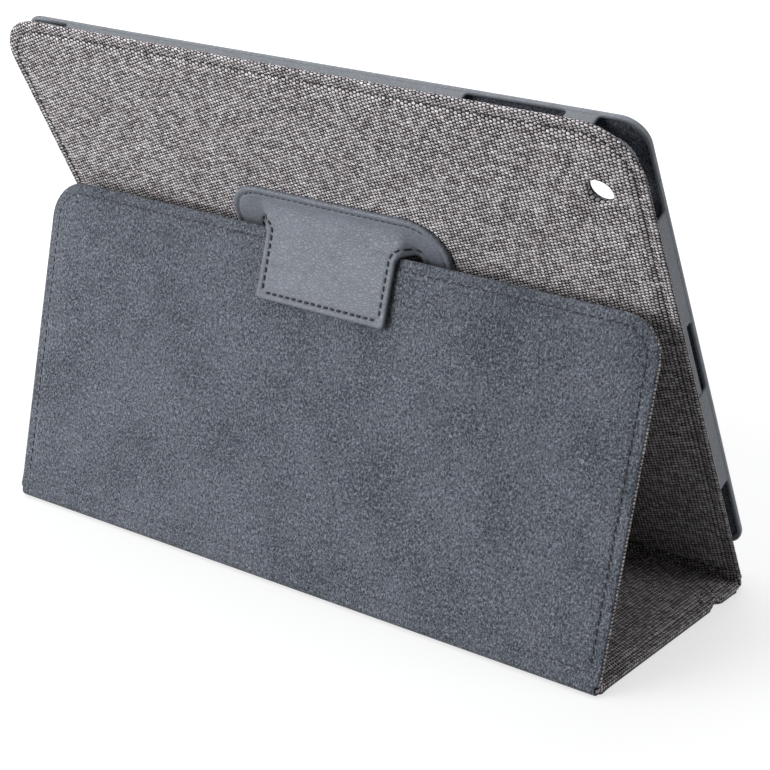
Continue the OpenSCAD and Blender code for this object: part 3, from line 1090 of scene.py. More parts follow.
@dataclass(frozen=True)
class GreyBoard(Finish):
    """Grey board pressed from waste paper, with short fibres and flecks in it."""

    name: str = "grey_board"
    slot: Slot = Slot.BOARD
    body: str = "#9a9186"
    fleck: str = "#6f675d"

    def surface(self, g: Graph) -> None:
        """Draws the fibres and flecks.

        Args:
            g: The material's nodes.
        """
        add = g.add
        where = add("TexCoord").outputs["Object"]
        fibre = add("TexNoise", Vector=where, Scale=800.0, Detail=5.0, Roughness=0.7)
        share = add("MapRange", fibre, 0.5, 0.7, interpolation_type="SMOOTHSTEP")
        g.dress(
            Base_Color=add("MixRGB", share, self.body, self.fleck),
            Roughness=0.9,
            Normal=add("Bump", Height=fibre, Distance=0.1 * MM),
        )


# ---- Pieces ----


@dataclass(frozen=True)
class Link:
    """How a piece goes with the bodies: it rides on one, or names a second one and a bend between them, which
    finish_piece does not apply.
    """

    body: Body  # the body that it rides on
    second: Optional[Body] = None  # a second body at its far end, for a bend that is not applied
    start: tuple[float, ...] = ()  # where the bend starts, in metres
    end: tuple[float, ...] = ()  # where it ends


def finish_piece(
    piece: bpy.types.Object, finish: Finish, link: Link, replaces: tuple[str, ...] = ()
) -> None:
    """Gives a piece its finish and ties it to its bodies.

    Args:
        piece: The piece.
        finish: Its finish.
        link: The bodies that it goes with; with a second one, the piece is left without a parent.
        replaces: CAD nodes that it stands for.
    """
    piece.data.materials.append(finish.make())
    if link.second is None:
        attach(piece, link.body.value)
    else:
        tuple(link.start)
        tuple(link.end)
        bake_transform(piece)
    if replaces:
        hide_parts(*replaces)
    log.info("%s: %d points, %s", piece.name, len(piece.data.vertices), finish.name)


@dataclass
class CoverPanel:
    """One panel of the cover: a woven slab round a board, a suede sheet and stitches."""

    name: str  # the panel's name, which is also the start of its nodes' names
    body: Body
    plane: Plane
    s0: float  # start of the panel
    s1: float  # end of the panel
    r0: float = 1.5  # radius of the corners at its start
    r1: float = 1.5  # radius of the corners at its end
    stitch_end: bool = False  # whether the stitches also run across its end
    nap_start: float = SUEDE_INSET  # how far the suede stops short of the panel's start
    nap_end: float = SUEDE_INSET  # how far it stops short of a folded end
    swell: float = 0.0  # height of the slow waves in its faces
    weave_edge: float = 0.6  # rounding of the slab's edge
    nap_edge: float = 0.7  # rounding of the suede's edge
    weave_groove: Groove = Groove(depth=0.45, width=0.9)  # stitch line in the slab
    nap_groove: Groove = Groove(depth=0.32, width=0.6)  # stitch line in the suede
    # how far the slab's faces are moved outside its stitch line
    weave_rim: tuple[float, float] = (0.2, 0.0)
    nap_rim: tuple[float, float] = (-0.1, -0.45)  # the same for the suede
    weave_sewn: float = 0.3  # depth of the thread's middle in the woven face
    nap_sewn: float = 0.22  # its depth in the suede
    fold_clear: float = 0.8  # distance from a fold up to which nothing is stitched
    fade: float = 3.0  # distance over which the stitching then comes in
    side_room: float = 2.5  # how far in from the stitch line the sides count as stitched
    least_r: float = 0.3

    def stitch_room(self, at: Points) -> Points:
        """How fully the panel is stitched down at each point, from 0 at a fold to 1.

        Args:
            at: The points, as x and s.

        Returns:
            A share for each.
        """
        room = np.clip((at[:, 1] - self.s0 - self.fold_clear) / self.fade, 0.0, 1.0)
        if self.stitch_end:
            return room
        sides = np.abs(at[:, 0]) > CASE_W / 2 - STITCH_INSET - self.side_room
        return room * np.clip((self.s1 - self.fold_clear - at[:, 1]) / self.fade, 0.0, 1.0) * sides

    def build(self) -> None:
        """Builds the slab, the suede sheet and both rows of stitches."""
        link = Link(self.body)
        slab = Sheet(
            self.outline(self.weave_edge, end=TWEED_INSET), 0.0, TWEED_SLAB_T, swell=self.swell,
            groove=self.weave_groove, groove_keep=self.stitch_room, rim=self.weave_rim,
        ).build(f"{self.name}_weave", self.plane)
        finish_piece(slab, WovenTweed(), link, (f"{self.name}_tweed",))
        nap = Sheet(
            self.outline(self.nap_edge, COVER_NAP_INSET, 0.0, self.nap_start, self.nap_end),
            PANEL_T - COVER_NAP_T, COVER_NAP_T, swell=self.swell, wrap_from_low=False,
            groove=self.nap_groove, groove_keep=self.stitch_room, rim=self.nap_rim,
        ).build(f"{self.name}_nap", self.plane)
        finish_piece(nap, NappedSuede(), link, (f"{self.name}_suede",))
        lines = inset_line(self.outline(), STITCH_INSET, self.stitch_room)
        sides = {
            "woven": (self.weave_sewn, (f"{self.name}_thread",)),
            "nap": (PANEL_T - self.nap_sewn, ()),
        }
        for side, (n, replaces) in sides.items():
            row = StitchRow().build(f"{self.name}_stitches_{side}_side", lines, self.plane, n)
            finish_piece(row, WaxedThread(), link, replaces)

    def outline(
        self, edge: float = 1.0, side: float = 0.0, end: float = 0.0, from_start: float = 0.0,
        from_end: float = 0.0,
    ) -> Loop:
        """The panel's outline, drawn in.

        Args:
            edge: Rounding of the sheet's edge.
            side: How far it is drawn in at the sides.
            end: How far at a free end.
            from_start: How far at the start's fold.
            from_end: How far at a folded end.

        Returns:
            The outline.
        """
        stop = self.s1 - (end if self.stitch_end else from_end)
        r0, r1 = (max(r, self.least_r) for r in (self.r0 - side, self.r1 - max(side, end)))
        return panel_loop(CASE_W - 2 * side, self.s0 + from_start, stop, r0, r1, edge)


@dataclass
class BackPanel:
    """The panel behind the tablet, with the camera hole."""

    plane: Plane
    height: float = 202.3  # its height above its fold line
    corner_r: float = 19.1  # radius of its upper corners
    fold_r: float = 1.5  # radius of its corners at the fold
    edge: float = 1.3  # rounding of the slab's edge
    lining_edge: float = 0.4  # rounding of the lining's edge
    lining_r: float = 0.6  # radius of the lining's corners at the fold
    camera: tuple[float, float] = (108.5, 176.5)  # x and s of the camera hole
    camera_r: float = 4.4
    camera_edges: tuple[float, float] = (0.45, 0.3)  # rounding of its edge in the slab and in the lining
    swell: float = 0.3  # height of the slow waves in the faces
    groove: Groove = Groove(depth=0.8, width=1.2)  # stitch line in the slab
    lining_groove: Groove = Groove(inset=STITCH_INSET - SUEDE_INSET, depth=0.1)
    rim: tuple[float, float] = (0.35, -0.45)  # how far the slab's faces are moved outside it
    lining_rim: tuple[float, float] = (-0.5, -0.5)  # the same for the lining
    overlap: float = 0.05  # how far the lining reaches into the slab
    sewn: float = 0.3  # depth of the thread's middle
    fold_clear: float = 1.0  # distance from the fold up to which nothing is stitched
    fade: float = 3.0  # distance over which the stitching then comes in

    def stitch_room(self, at: Points) -> Points:
        """Where the panel is stitched: everywhere but at the fold."""
        return np.clip((at[:, 1] - BACK_FOLD_HALF - self.fold_clear) / self.fade, 0.0, 1.0)

    def build(self) -> None:
        """Builds the woven slab, the pocket's lining and the stitches."""
        link = Link(Body.HOLDER)
        hole, lining_hole = (round_hole(*self.camera, self.camera_r, edge) for edge in self.camera_edges)
        outline = panel_loop(CASE_W, BACK_FOLD_HALF, self.height, self.fold_r, self.corner_r, self.edge)
        slab = Sheet(
            outline, 0.0, BACK_SLAB_T, holes=[hole], groove=self.groove,
            groove_keep=self.stitch_room, swell=self.swell, rim=self.rim,
        ).build("back_weave", self.plane)
        finish_piece(slab, WovenTweed(), link, ("back_tweed", "back_board"))
        inner = panel_loop(
            CASE_W - 2 * SUEDE_INSET, BACK_FOLD_HALF + SUEDE_INSET, self.height - SUEDE_INSET,
            self.lining_r, self.corner_r - SUEDE_INSET, self.lining_edge,
        )
        lining = Sheet(
            inner, BACK_SLAB_T - self.overlap, SUEDE_T + self.overlap, holes=[lining_hole],
            groove=self.lining_groove, groove_keep=self.stitch_room,
            wrap_from_low=False, rim=self.lining_rim, swell=self.swell,
        ).build("pocket_lining", self.plane)
        finish_piece(lining, NappedSuede(), link, ("back_lining",))
        lines = inset_line(outline, STITCH_INSET, self.stitch_room)
        stitches = StitchRow().build("back_stitches", lines, self.plane, self.sewn)
        finish_piece(stitches, WaxedThread(), link, ("back_thread",))


# ---- Soft folds ----


@dataclass
class Fold:
    """The soft strip between two panels that turn about a hinge: woven fabric with suede outside."""

    name: str
    node: str  # the CAD node that it stands for
    bodies: tuple[Body, Body]  # the first and the second panel's body
    hinge: tuple[float, float]
    # directions of the two panels away from the hinge, with the woven side between them
    angles: tuple[float, float]
    depth: float  # distance from the hinge to the woven faces
    backs: tuple[float, float]  # distances from the hinge to the two panels' other faces
    reach: float  # how far the strip runs into each panel
    half_width: float  # half of its width across the case
    bend: float  # distance from the hinge to each end of the link's bend span, which is not applied
    count: int = 37  # points along each of its two lines
    corner_points: int = 9  # points round the woven side's corner before that
    arc_steps: int = 24  # steps round the other side's arc before that
    sink: float = 0.1  # how far the woven side lies back from the panels' woven faces
    lead: float = 0.45  # distance from the inner corner over which it is rounded
    proud: float = 0.04  # how far the suede stays within the panels' other faces
    overlap: float = 0.05  # how far the suede reaches into the woven core
    end_turns: tuple[float, ...] = (0.1, 0.5, 0.95, 1.57)  # turns into the rounded ends, in radians
    end_least: float = 0.12  # least share of the strip's thickness at its ends
    stations: int = 60  # number of rings between the ends

    def woven_line(self, depth: float) -> Points:
        """The woven side's line in the side view, with its corner rounded.

        Args:
            depth: Its distance from the hinge.

        Returns:
            Points at even steps from the first panel to the second.
        """
        first, second = (turned(a) for a in self.angles)
        up_first, up_second = turned(self.angles[0] + 90), turned(self.angles[1] - 90)
        half = math.radians(self.angles[1] - self.angles[0]) / 2
        corner = depth / math.tan(half) if half < math.pi / 2 - NEAR else 0.0
        start = first * (corner + self.lead) + up_first * depth
        tip = first * corner + up_first * depth
        stop = second * (corner + self.lead) + up_second * depth
        shares = np.linspace(0.0, 1.0, self.corner_points)[:, None]
        round_off = start * (1 - shares) ** 2 + tip * 2 * shares * (1 - shares) + stop * shares**2
        ends = [first * self.reach + up_first * depth], [second * self.reach + up_second * depth]
        return even_steps(np.concatenate([ends[0], round_off, ends[1]]), self.count) + self.hinge

    def outer_line(self, less: float) -> Points:
        """The other side's line, which goes round the hinge in an arc.

        Args:
            less: How far it is drawn in.

        Returns:
            Points at even steps from the first panel to the second.
        """
        first, second = (turned(a) for a in self.angles)
        a0, a1 = self.angles[0] - 90, self.angles[1] + 90 - 360
        r0, r1 = (back - less for back in self.backs)
        arc = [
            turned(a0 + (a1 - a0) * k / self.arc_steps) * (r0 + (r1 - r0) * k / self.arc_steps)
            for k in range(self.arc_steps + 1)
        ]
        line = [first * self.reach + turned(a0) * r0] + arc + [second * self.reach + turned(a1) * r1]
        return even_steps(np.array(line), self.count) + self.hinge

    def strip(self, name: str, upper: Points, lower: Points, half_width: float) -> bpy.types.Object:
        """Makes a closed strip between two lines, with its two ends rounded.

        Args:
            name: The object's name.
            upper: One line in the side view.
            lower: The other line, with as many points.
            half_width: Half of the strip's width.

        Returns:
            The object.
        """
        half = np.linalg.norm(upper - lower, axis=1).mean() / 2
        ends = [
            (half_width - half + half * math.cos(a), max(self.end_least, math.sin(a)))
            for a in self.end_turns
        ]
        flat = half_width - 2 * half
        stations = [(-x, full) for x, full in ends]
        stations += [(x, 1.0) for x in np.linspace(-flat, flat, self.stations)] + ends[::-1]
        middle = (upper + lower) / 2
        reach = reach_along(upper)
        around = np.concatenate([reach, reach[::-1]])
        points, cloth = [], []
        for x, full in stations:
            rise, fall = middle + (upper - middle) * full, middle + (lower - middle) * full
            across = np.full(len(around), x)
            points.append(np.column_stack([across, np.concatenate([rise, fall[::-1]])]))
            cloth.append(np.column_stack([across, around]))
        count, size = len(upper), len(around)
        faces = tube_faces(len(stations), size)
        for base in (0, (len(stations) - 1) * size):
            for i in range(count - 1):
                faces.append((base + i, base + i + 1, base + size - 2 - i, base + size - 1 - i))
        return make_object(name, np.concatenate(points) * MM, faces, np.concatenate(cloth))

    def build(self) -> None:
        """Builds the woven core and its suede skin."""
        middle = math.radians(sum(self.angles) / 2 + 90)
        run = np.array([math.cos(middle), math.sin(middle)]) * self.bend
        start, end = (self.hinge - run) * MM, (self.hinge + run) * MM
        link = Link(*self.bodies, (0.0, *start), (0.0, *end))
        woven, inside = self.woven_line(self.depth - self.sink), self.outer_line(SUEDE_T)
        core = self.strip(self.name, woven, inside, self.half_width)
        finish_piece(core, WovenTweed(), link, (self.node,))
        inside, outside = self.outer_line(SUEDE_T + self.overlap), self.outer_line(self.proud)
        skin = self.strip(f"{self.name}_nap", inside, outside, self.half_width - SUEDE_INSET)
        finish_piece(skin, NappedSuede(), link)


# ---- Tablet frame ----


@dataclass(frozen=True)
class WallBand(Placement):
    """The frame's wall unrolled: x runs round the frame, s is the height, n goes inward.

    x is 0 where the top edge leaves the left corner's arc, and grows over the top, down the right side
    and back along the bottom.
    """

    plane: Plane
    half_w: float  # half of the frame's width
    low: float  # s of its bottom edge
    high: float  # s of its top edge
    radius: float  # radius of its corners

    def spans(self) -> list[float]:
        """Lengths of the wall's sides and corners, from the top edge on, in turn.

        Returns:
            Eight lengths in millimetres.
        """
        run_x, run_s = 2 * (self.half_w - self.radius), self.high - self.low - 2 * self.radius
        arc = math.pi / 2 * self.radius
        return [run_x, arc, run_s, arc] * 2

    def place(self, x: Points, s: Points, n: Points) -> Points:
        """Places points of the unrolled wall.

        Args:
            x: Their places round the frame.
            s: Their heights in the wall.
            n: Their depths in it.

        Returns:
            Their x, y and z in the frame, in millimetres.
        """
        r = self.radius
        left, right, low, high = -self.half_w + r, self.half_w - r, self.low + r, self.high - r
        x = np.mod(x, sum(self.spans()))
        across, up = np.zeros_like(x), np.zeros_like(x)
        # Where each side starts; a corner turns about where the next side starts
        starts = [(left, high), (right, high), (right, low), (left, low)]
        start = 0.0
        for k, length in enumerate(self.spans()):
            here = (x >= start) & (x <= start + length)
            along = x[here] - start
            side, corner = divmod(k, 2)
            facing = np.full(len(along), math.pi / 2 * (1 - side))
            if corner:
                facing, along = facing - along / r, np.zeros(len(along))
            base = starts[(side + corner) % 4]
            ahead = (math.cos(-math.pi / 2 * side), math.sin(-math.pi / 2 * side))
            across[here] = base[0] + ahead[0] * along + np.cos(facing) * (r - n[here])
            up[here] = base[1] + ahead[1] * along + np.sin(facing) * (r - n[here])
            start += length
        return self.plane.place(across, up, s)

    def top(self, x: float) -> float:
        """Place on the unrolled wall of a point on the top edge."""
        return x + self.half_w - self.radius

    def side(self, s: float) -> float:
        """Place on the unrolled wall of a point on the right side."""
        return sum(self.spans()[:2]) + self.high - self.radius - s

    def bottom(self, x: float) -> float:
        """Place on the unrolled wall of a point on the bottom edge."""
        return sum(self.spans()[:4]) + self.half_w - self.radius - x


@dataclass
class TabletFrame:
    """The leather frame that holds the tablet: a wall with cut-outs and a border round the screen.

    Places across and up are x and s of the back panel, and heights are n above its woven face.
    """

    plane: Plane
    half_w: float = 121.8  # half of the frame's width
    low: float = 8.1  # its bottom edge
    high: float = 196.3  # its top edge
    radius: float = 8.5  # radius of its corners
    base: float = 2.3  # lower edge of the wall, on the back panel's lining
    rim_top: float = 4.2  # top of the rim, which runs on below the cut-outs
    skirt: float = 10.5  # top of the cut-outs, under the border
    wall_top: float = 11.9  # upper edge of the wall
    wall_skin: float = 0.12  # how far the wall's outer face lies inside the frame's outline
    wall_t: float = 1.1  # depth of its inner face
    cell: float = 1.7  # spacing of the points in the wall
    border_w: float = 10.0  # width of the border
    window_r: float = 6.0  # radius of the window's corners
    front: float = 13.0  # height of the border's face
    rounding: float = 1.3  # rounding of its outer edge
    lip: float = 0.5  # rounding of its edge at the window
    inside: float = 11.9  # height of its inner face
    skirt_low: float = 10.62  # lower edge of its side, which reaches down over the wall
    skirt_t: float = 1.0  # thickness of that side
    open_lift: float = 1.05  # how much higher that edge ends at the open side
    # distances from the open side at which it starts and ends to rise
    open_run: tuple[float, float] = (12.0, 7.0)
    sill: float = 6.0  # height of the key slot's sill
    entry: float = 6.0  # how far the rim runs on round the corners of the open side
    open_x: float = -99.8  # where the wall starts at the open side
    cut_r: float = 1.2  # radius of a cut-out's corners
    cut_edge: float = 0.4  # rounding of a cut-out's edge
    key_slot: tuple[float, float] = (61.5, 96.3)  # ends of the key slot along the top
    # where the corner's cut-out starts along the top, and ends down the side
    corner_cut: tuple[float, float] = (106.8, 163.0)
    side_slot: tuple[float, float] = (118.0, 88.2)  # upper and lower end of the side slot
    # where the socket's cut-out starts down the side, and ends along the bottom
    socket_cut: tuple[float, float] = (43.8, 100.0)
    strip: tuple[float, float] = (3.9, 8.4)  # lower and upper edge of the strip that lines the side slot
    strip_over: float = 1.8  # how far it reaches past the slot at each end
    strip_depth: tuple[float, float] = (0.55, 0.5)  # depth of its outer face, and its thickness
    stitch_share: float = 0.76  # place of the border's stitches: 0 at its outline, 1 at the window
    face: tuple[float, ...] = (3.0, 5.0, 7.0, 8.6)  # where the border's face has rings of points
    turn_points: int = 7  # points round its outer edge
    # the lining's section: distances in from the outline, and heights
    lining: tuple[tuple[float, float], ...] = (
        (1.3, 11.6), (1.2, 11.8), (1.3, 11.95), (9.7, 11.95), (9.85, 11.8), (9.7, 11.6),
    )
    soft_r: float = 0.5  # radius of the wall's upper corners at the open side
    rim_r: float = 0.6  # radius of the rim's upper corners there
    foot_r: float = 0.3  # radius of its lower corners, and of the strip's corners
    strip_edge: float = 0.2  # rounding of the strip's edge

    def wall(self) -> None:
        """Builds the wall with its cut-outs, and the strip that lines the side slot."""
        band = WallBand(self.plane, self.half_w, self.low, self.high, self.radius)
        start, start_open, stop = -self.entry, band.top(self.open_x), sum(band.spans()[:5])
        end = [
            (start, self.base, self.foot_r), (start, self.rim_top, self.rim_r),
            (start_open, self.rim_top, self.cut_r), (start_open, self.skirt, self.cut_r),
            (start, self.skirt, self.soft_r), (start, self.wall_top, self.soft_r),
        ]
        left = [Corner(x, s, r) for x, s, r in end]
        right = [Corner(stop - x, s, r) for x, s, r in end]
        outline = rounded(left[:1] + right + left[:0:-1], self.cut_edge)
        slot = [band.side(s) for s in self.side_slot]
        holes = [
            self.cut(*(band.top(x) for x in self.key_slot), self.sill),
            self.cut(band.top(self.corner_cut[0]), band.side(self.corner_cut[1]), self.rim_top),
            self.cut(*slot, self.rim_top),
            self.cut(band.side(self.socket_cut[0]), band.bottom(self.socket_cut[1]), self.rim_top),
        ]
        wall = Sheet(
            outline, self.wall_skin, self.wall_t - self.wall_skin, holes=holes, cell=self.cell
        ).build("frame_wall", band)
        nodes = (
            "rim_band", "wall_top", "wall_post", "wall_side_upper", "wall_side_lower", "wall_bottom",
        )
        finish_piece(wall, SmoothLeather(), Link(Body.HOLDER), nodes)
        start, stop = slot[0] - self.strip_over, slot[1] + self.strip_over
        low, high = self.strip
        corners = [(start, low), (stop, low), (stop, high), (start, high)]
        strip = rounded([Corner(x, s, self.foot_r) for x, s in corners], self.strip_edge)
        lined = Sheet(strip, *self.strip_depth, cell=self.cell).build("side_slot_lining", band)
        finish_piece(lined, SmoothLeather(), Link(Body.HOLDER), ("side_slot_strip",))

    def cut(self, start: float, stop: float, low: float) -> Loop:
        """A cut-out of the wall, from one place round it to another and up to the skirt."""
        corners = [(start, low), (start, self.skirt), (stop, self.skirt), (stop, low)]
        return rounded([Corner(x, s, self.cut_r) for x, s in corners], self.cut_edge)

    def rounds(self, inset: float, radius: float) -> Points:
        """The frame's outline, drawn in, with the same number of points for any inset.

        Args:
            inset: How far it is drawn in.
            radius: Radius of its corners.

        Returns:
            Its points, from the upper right corner on.
        """
        half, low, high = self.half_w - inset, self.low + inset, self.high - inset
        arc_steps, side_steps = 10, (40, 34, 40, 34)
        arcs = []
        for k, (sx, sy) in enumerate([(1, 1), (-1, 1), (-1, -1), (1, -1)]):
            centre = np.array([sx * (half - radius), high - radius if sy > 0 else low + radius])
            turns = [90 * k + 90 * i / arc_steps for i in range(arc_steps + 1)]
            arcs.append([centre + turned(turn) * radius for turn in turns])
        points: list[np.ndarray] = []
        for k, (arc, steps) in enumerate(zip(arcs, side_steps)):
            after = arcs[(k + 1) % len(arcs)][0]
            points += arc + [arc[-1] + (after - arc[-1]) * i / steps for i in range(1, steps)]
        return np.array(points)

    def border_tube(
        self, name: str, rings: Sequence[tuple[Points, Points]], finish: Finish, nodes: tuple[str, ...]
    ) -> None:
        """Makes a closed tube that runs round the screen, and dresses it.

        Args:
            name: The object's name.
            rings: Each line along the tube: its distance in from the outline, and its height.
            finish: The tube's finish.
            nodes: CAD nodes that it stands for.
        """
        outer, window = self.rounds(0.0, self.radius), self.rounds(self.border_w, self.window_r)
        size = len(outer)
        points, cloth = [], []
        for inward, height in rings:
            share = np.broadcast_to(inward / self.border_w, size)[:, None]
            flat = outer + (window - outer) * share
            points.append(self.plane.place(flat[:, 0], flat[:, 1], np.broadcast_to(height, size)))
            cloth.append(flat)
        faces = tube_faces(len(rings), size, closed=True)
        tube = make_object(name, np.concatenate(points) * MM, faces, np.concatenate(cloth))
        finish_piece(tube, finish, Link(Body.HOLDER), nodes)

    def border(self) -> None:
        """Builds the border round the screen, its lining and its stitches."""
        outer, window = self.rounds(0.0, self.radius), self.rounds(self.border_w, self.window_r)
        from_open = -outer[:, 0] - self.half_w + self.open_run[0]
        left = np.clip(from_open / (self.open_run[0] - self.open_run[1]), 0.0, 1.0)
        skirt_low = self.skirt_low + left * self.open_lift
        turn = np.radians(np.linspace(0.0, 90.0, self.turn_points))
        r, lip, wide, inside, back = self.rounding, self.lip, self.border_w, self.inside, self.skirt_t
        # Up the side, over the face, down at the window and back along the inside
        rings = [(0.3, skirt_low), (0.06, skirt_low + 0.08), (0.0, skirt_low + 0.3)]
        rings += [(r - r * math.cos(a), self.front - r + r * math.sin(a)) for a in turn]
        rings += [(inward, self.front) for inward in self.face]
        down = self.front - lip
        rings += [(wide - lip + lip * math.sin(a), down + lip * math.cos(a)) for a in turn[::2]]
        rings += [(wide, inside + 0.2), (wide - 0.25, inside), (back + 0.4, inside)]
        rings += [(back + 0.15, np.minimum(skirt_low + 0.2, inside - 0.04)), (back, skirt_low)]
        self.border_tube("frame_border", rings, SmoothLeather(), ("bezel_leather", "bezel_board"))
        self.border_tube("border_lining", self.lining, NappedSuede(), ("bezel_lining",))
        line = outer + (window - outer) * self.stitch_share
        stitches = StitchRow(pitch=2.8, length=1.9, radius=0.2).build(
            "border_stitches", [np.concatenate([line, line[:1]])], self.plane, self.front + 0.02
        )
        finish_piece(stitches, WaxedThread(), Link(Body.HOLDER))

    def build(self) -> None:
        """Builds the whole frame."""
        self.wall()
        self.border()


# ---- Tab ----


@dataclass
class Tab:
    """The leather tab: a band with two wings on the back panel, and a tongue bent over the prop."""

    back: Plane
    prop: Plane
    prop_top: float = 116.25  # s of the prop panel's free edge
    band_bottom: float = 140.97  # s of the band's lower edge on the back panel
    top: float = 147.77  # s of the band's upper edge
    half_w: float = 44.5  # half of the band's width
    corner_r: float = 14.0  # radius of its upper corners
    wing_reach: float = 15.0  # how far the wings hang below the band
    wing_r: float = 3.0  # radius of their ends
    notch_in: float = 26.5  # half of the tongue's width
    notch_out: float = 31.8  # distance from the middle to the wings' inner edges
    notch_over: float = 0.3  # how far above the prop panel's edge the notches end
    notch_r: float = 2.2  # radius of the notches' ends
    thickness: float = 1.8
    tongue_len: float = 23.6  # length of the tongue on the prop panel
    tongue_x: float = 1.3  # how far the tongue sits off the middle
    tip_r: float = 1.6  # radius of its corners
    over: float = 3.5  # height of its underside over the prop panel's woven face at that panel's edge
    tip_over: float = 4.6  # the same at its tip
    bend_r: float = 8.0  # radius of its bend
    bend_steps: int = 12  # number of steps of the bend
    path_points: int = 80  # number of points along the tongue in the side view
    # s on the back panel, and heights above it, of the link's span for the tongue's turn as it lifts, which is not
    # applied
    fold: tuple[float, float, float] = (135.0, -2.2, -6.7)
    edge: float = 0.8  # rounding of the leather's edge
    sewn_inset: float = 2.4  # distance of the stitches from the edge
    groove: tuple[float, float] = (0.34, 0.55)  # depth and half width of the stitch line
    tongue_sewn: float = 0.3  # depth of the tongue's thread
    band_sewn: float = 0.4  # depth of the band's thread
    # heights above the band's lower edge up to which the tongue is sewn, and from which the band is
    sewn_split: tuple[float, float] = (1.0, 2.0)
    notch_room: float = 3.0  # how far past the notches the tongue's stitches may lie
    margin: float = 0.2  # how much thicker the leather is outside the stitches
    cell: float = 1.6  # spacing of the points in it

    def turn(self) -> float:
        """How far the tongue turns from the back panel, in degrees: a little past the prop's lean."""
        lift = math.degrees(math.atan2(self.tip_over - self.over, self.tongue_len))
        return 180.0 - BACK_ANGLE - PROP_ANGLE + lift

    def leave_at(self) -> float:
        """Where the sheet leaves the back panel, so that its bend ends on the tongue's line.

        Returns:
            Its s on the back panel.
        """
        along, normal = np.array(self.back.along), np.array(self.back.normal)
        reach = self.prop.at(self.prop_top, self.over) - np.array(self.back.origin)
        turn = math.radians(self.turn())
        meet = reach @ along - (reach @ normal) / math.tan(turn)
        return float(meet + self.bend_r * math.tan(turn / 2))

    def path(self) -> Points:
        """The tongue's underside in the side view, from where it leaves the back panel to its tip.

        Returns:
            Its points, as y and z.
        """
        start = self.back.at(self.leave_at(), 0.0)
        tip = self.prop.at(self.prop_top - self.tongue_len, self.tip_over)
        spoke = np.array(self.back.normal) * self.bend_r
        turns = [math.radians(-self.turn() * k / self.bend_steps) for k in range(self.bend_steps + 1)]
        points = [start - spoke + spun(spoke, a) for a in turns]
        return even_steps(np.array(points + [tip]), self.path_points)

    def outline(self, tip: float) -> Loop:
        """The tab's outline.

        Args:
            tip: s of the tongue's tip, with the tongue laid flat.

        Returns:
            The outline.
        """
        foot, notch = self.band_bottom - self.wing_reach, tip + self.tongue_len + self.notch_over
        half = [
            (self.half_w, self.top, self.corner_r, 0.0),
            (self.half_w, foot, self.wing_r, 0.0),
            (self.notch_out, foot, self.wing_r, self.tongue_x),
            (self.notch_out, notch, self.notch_r, self.tongue_x),
            (self.notch_in, notch, self.notch_r, self.tongue_x),
            (self.notch_in, tip, self.tip_r, self.tongue_x),
        ]
        left = [Corner(move - x, s, r) for x, s, r, move in half]
        right = [Corner(move + x, s, r) for x, s, r, move in half]
        return rounded(left + right[::-1], self.edge, step=1.0)

    def on_tongue(self, at: Points) -> Points:
        """Which points lie on the tongue or in its notches."""
        beside = np.abs(at[:, 0]) < self.notch_out + self.notch_room
        return (at[:, 1] < self.band_bottom + self.sewn_split[0]) & beside

    def on_band(self, at: Points) -> Points:
        """Which points lie on the band."""
        return at[:, 1] > self.band_bottom + self.sewn_split[1]

    def build(self) -> None:
        """Builds the tab and its rows of stitches."""
        outward = Plane(self.back.origin, self.back.along, (-self.back.normal[0], -self.back.normal[1]))
        path, leave = self.path(), self.leave_at()
        middle = (self.notch_in + self.notch_out) / 2
        bent = BentSheet(
            outward, tuple(map(tuple, path)), leave, middle, self.notch_out - middle, self.tongue_x
        )
        outline = self.outline(leave - float(np.linalg.norm(np.diff(path, axis=0), axis=1).sum()))
        start, end = (self.back.at(self.fold[0], n) * MM for n in self.fold[1:])
        link = Link(Body.HOLDER, Body.TONGUE, (0.0, *start), (0.0, *end))
        tab = Sheet(
            outline, 0.0, self.thickness - self.margin, cell=self.cell, wrap_from_low=False,
            rim=(0.0, self.margin), groove=Groove(self.sewn_inset, *self.groove),
        ).build("tab_leather", bent)
        finish_piece(tab, GrainedLeather(), link, ("tab_base", "tab_tongue"))
        tongue = inset_line(outline, self.sewn_inset, self.on_tongue)
        row = StitchRow(pitch=2.7, length=1.8, radius=0.42, slant=4.0)
        sewn = row.build("tongue_stitches", tongue, bent, self.thickness - self.tongue_sewn)
        finish_piece(sewn, WaxedThread(), link, ("tongue_thread",))
        band = inset_line(outline, self.sewn_inset, self.on_band)
        row = StitchRow(pitch=2.4, length=1.6, radius=0.28, slant=10.0)
        sewn = row.build("tab_stitches", band, bent, self.thickness - self.band_sewn)
        finish_piece(sewn, TonedThread(), link, ("tab_base_thread",))


# ---- Camera, light and floor ----


def away_from(azimuth: float, elevation: float) -> Vector:
    """Direction away from the case, with both angles in degrees and azimuth 0 on the side of -Y."""
    a, e = math.radians(azimuth), math.radians(elevation)
    return Vector((math.sin(a) * math.cos(e), -math.cos(a) * math.cos(e), math.sin(e)))


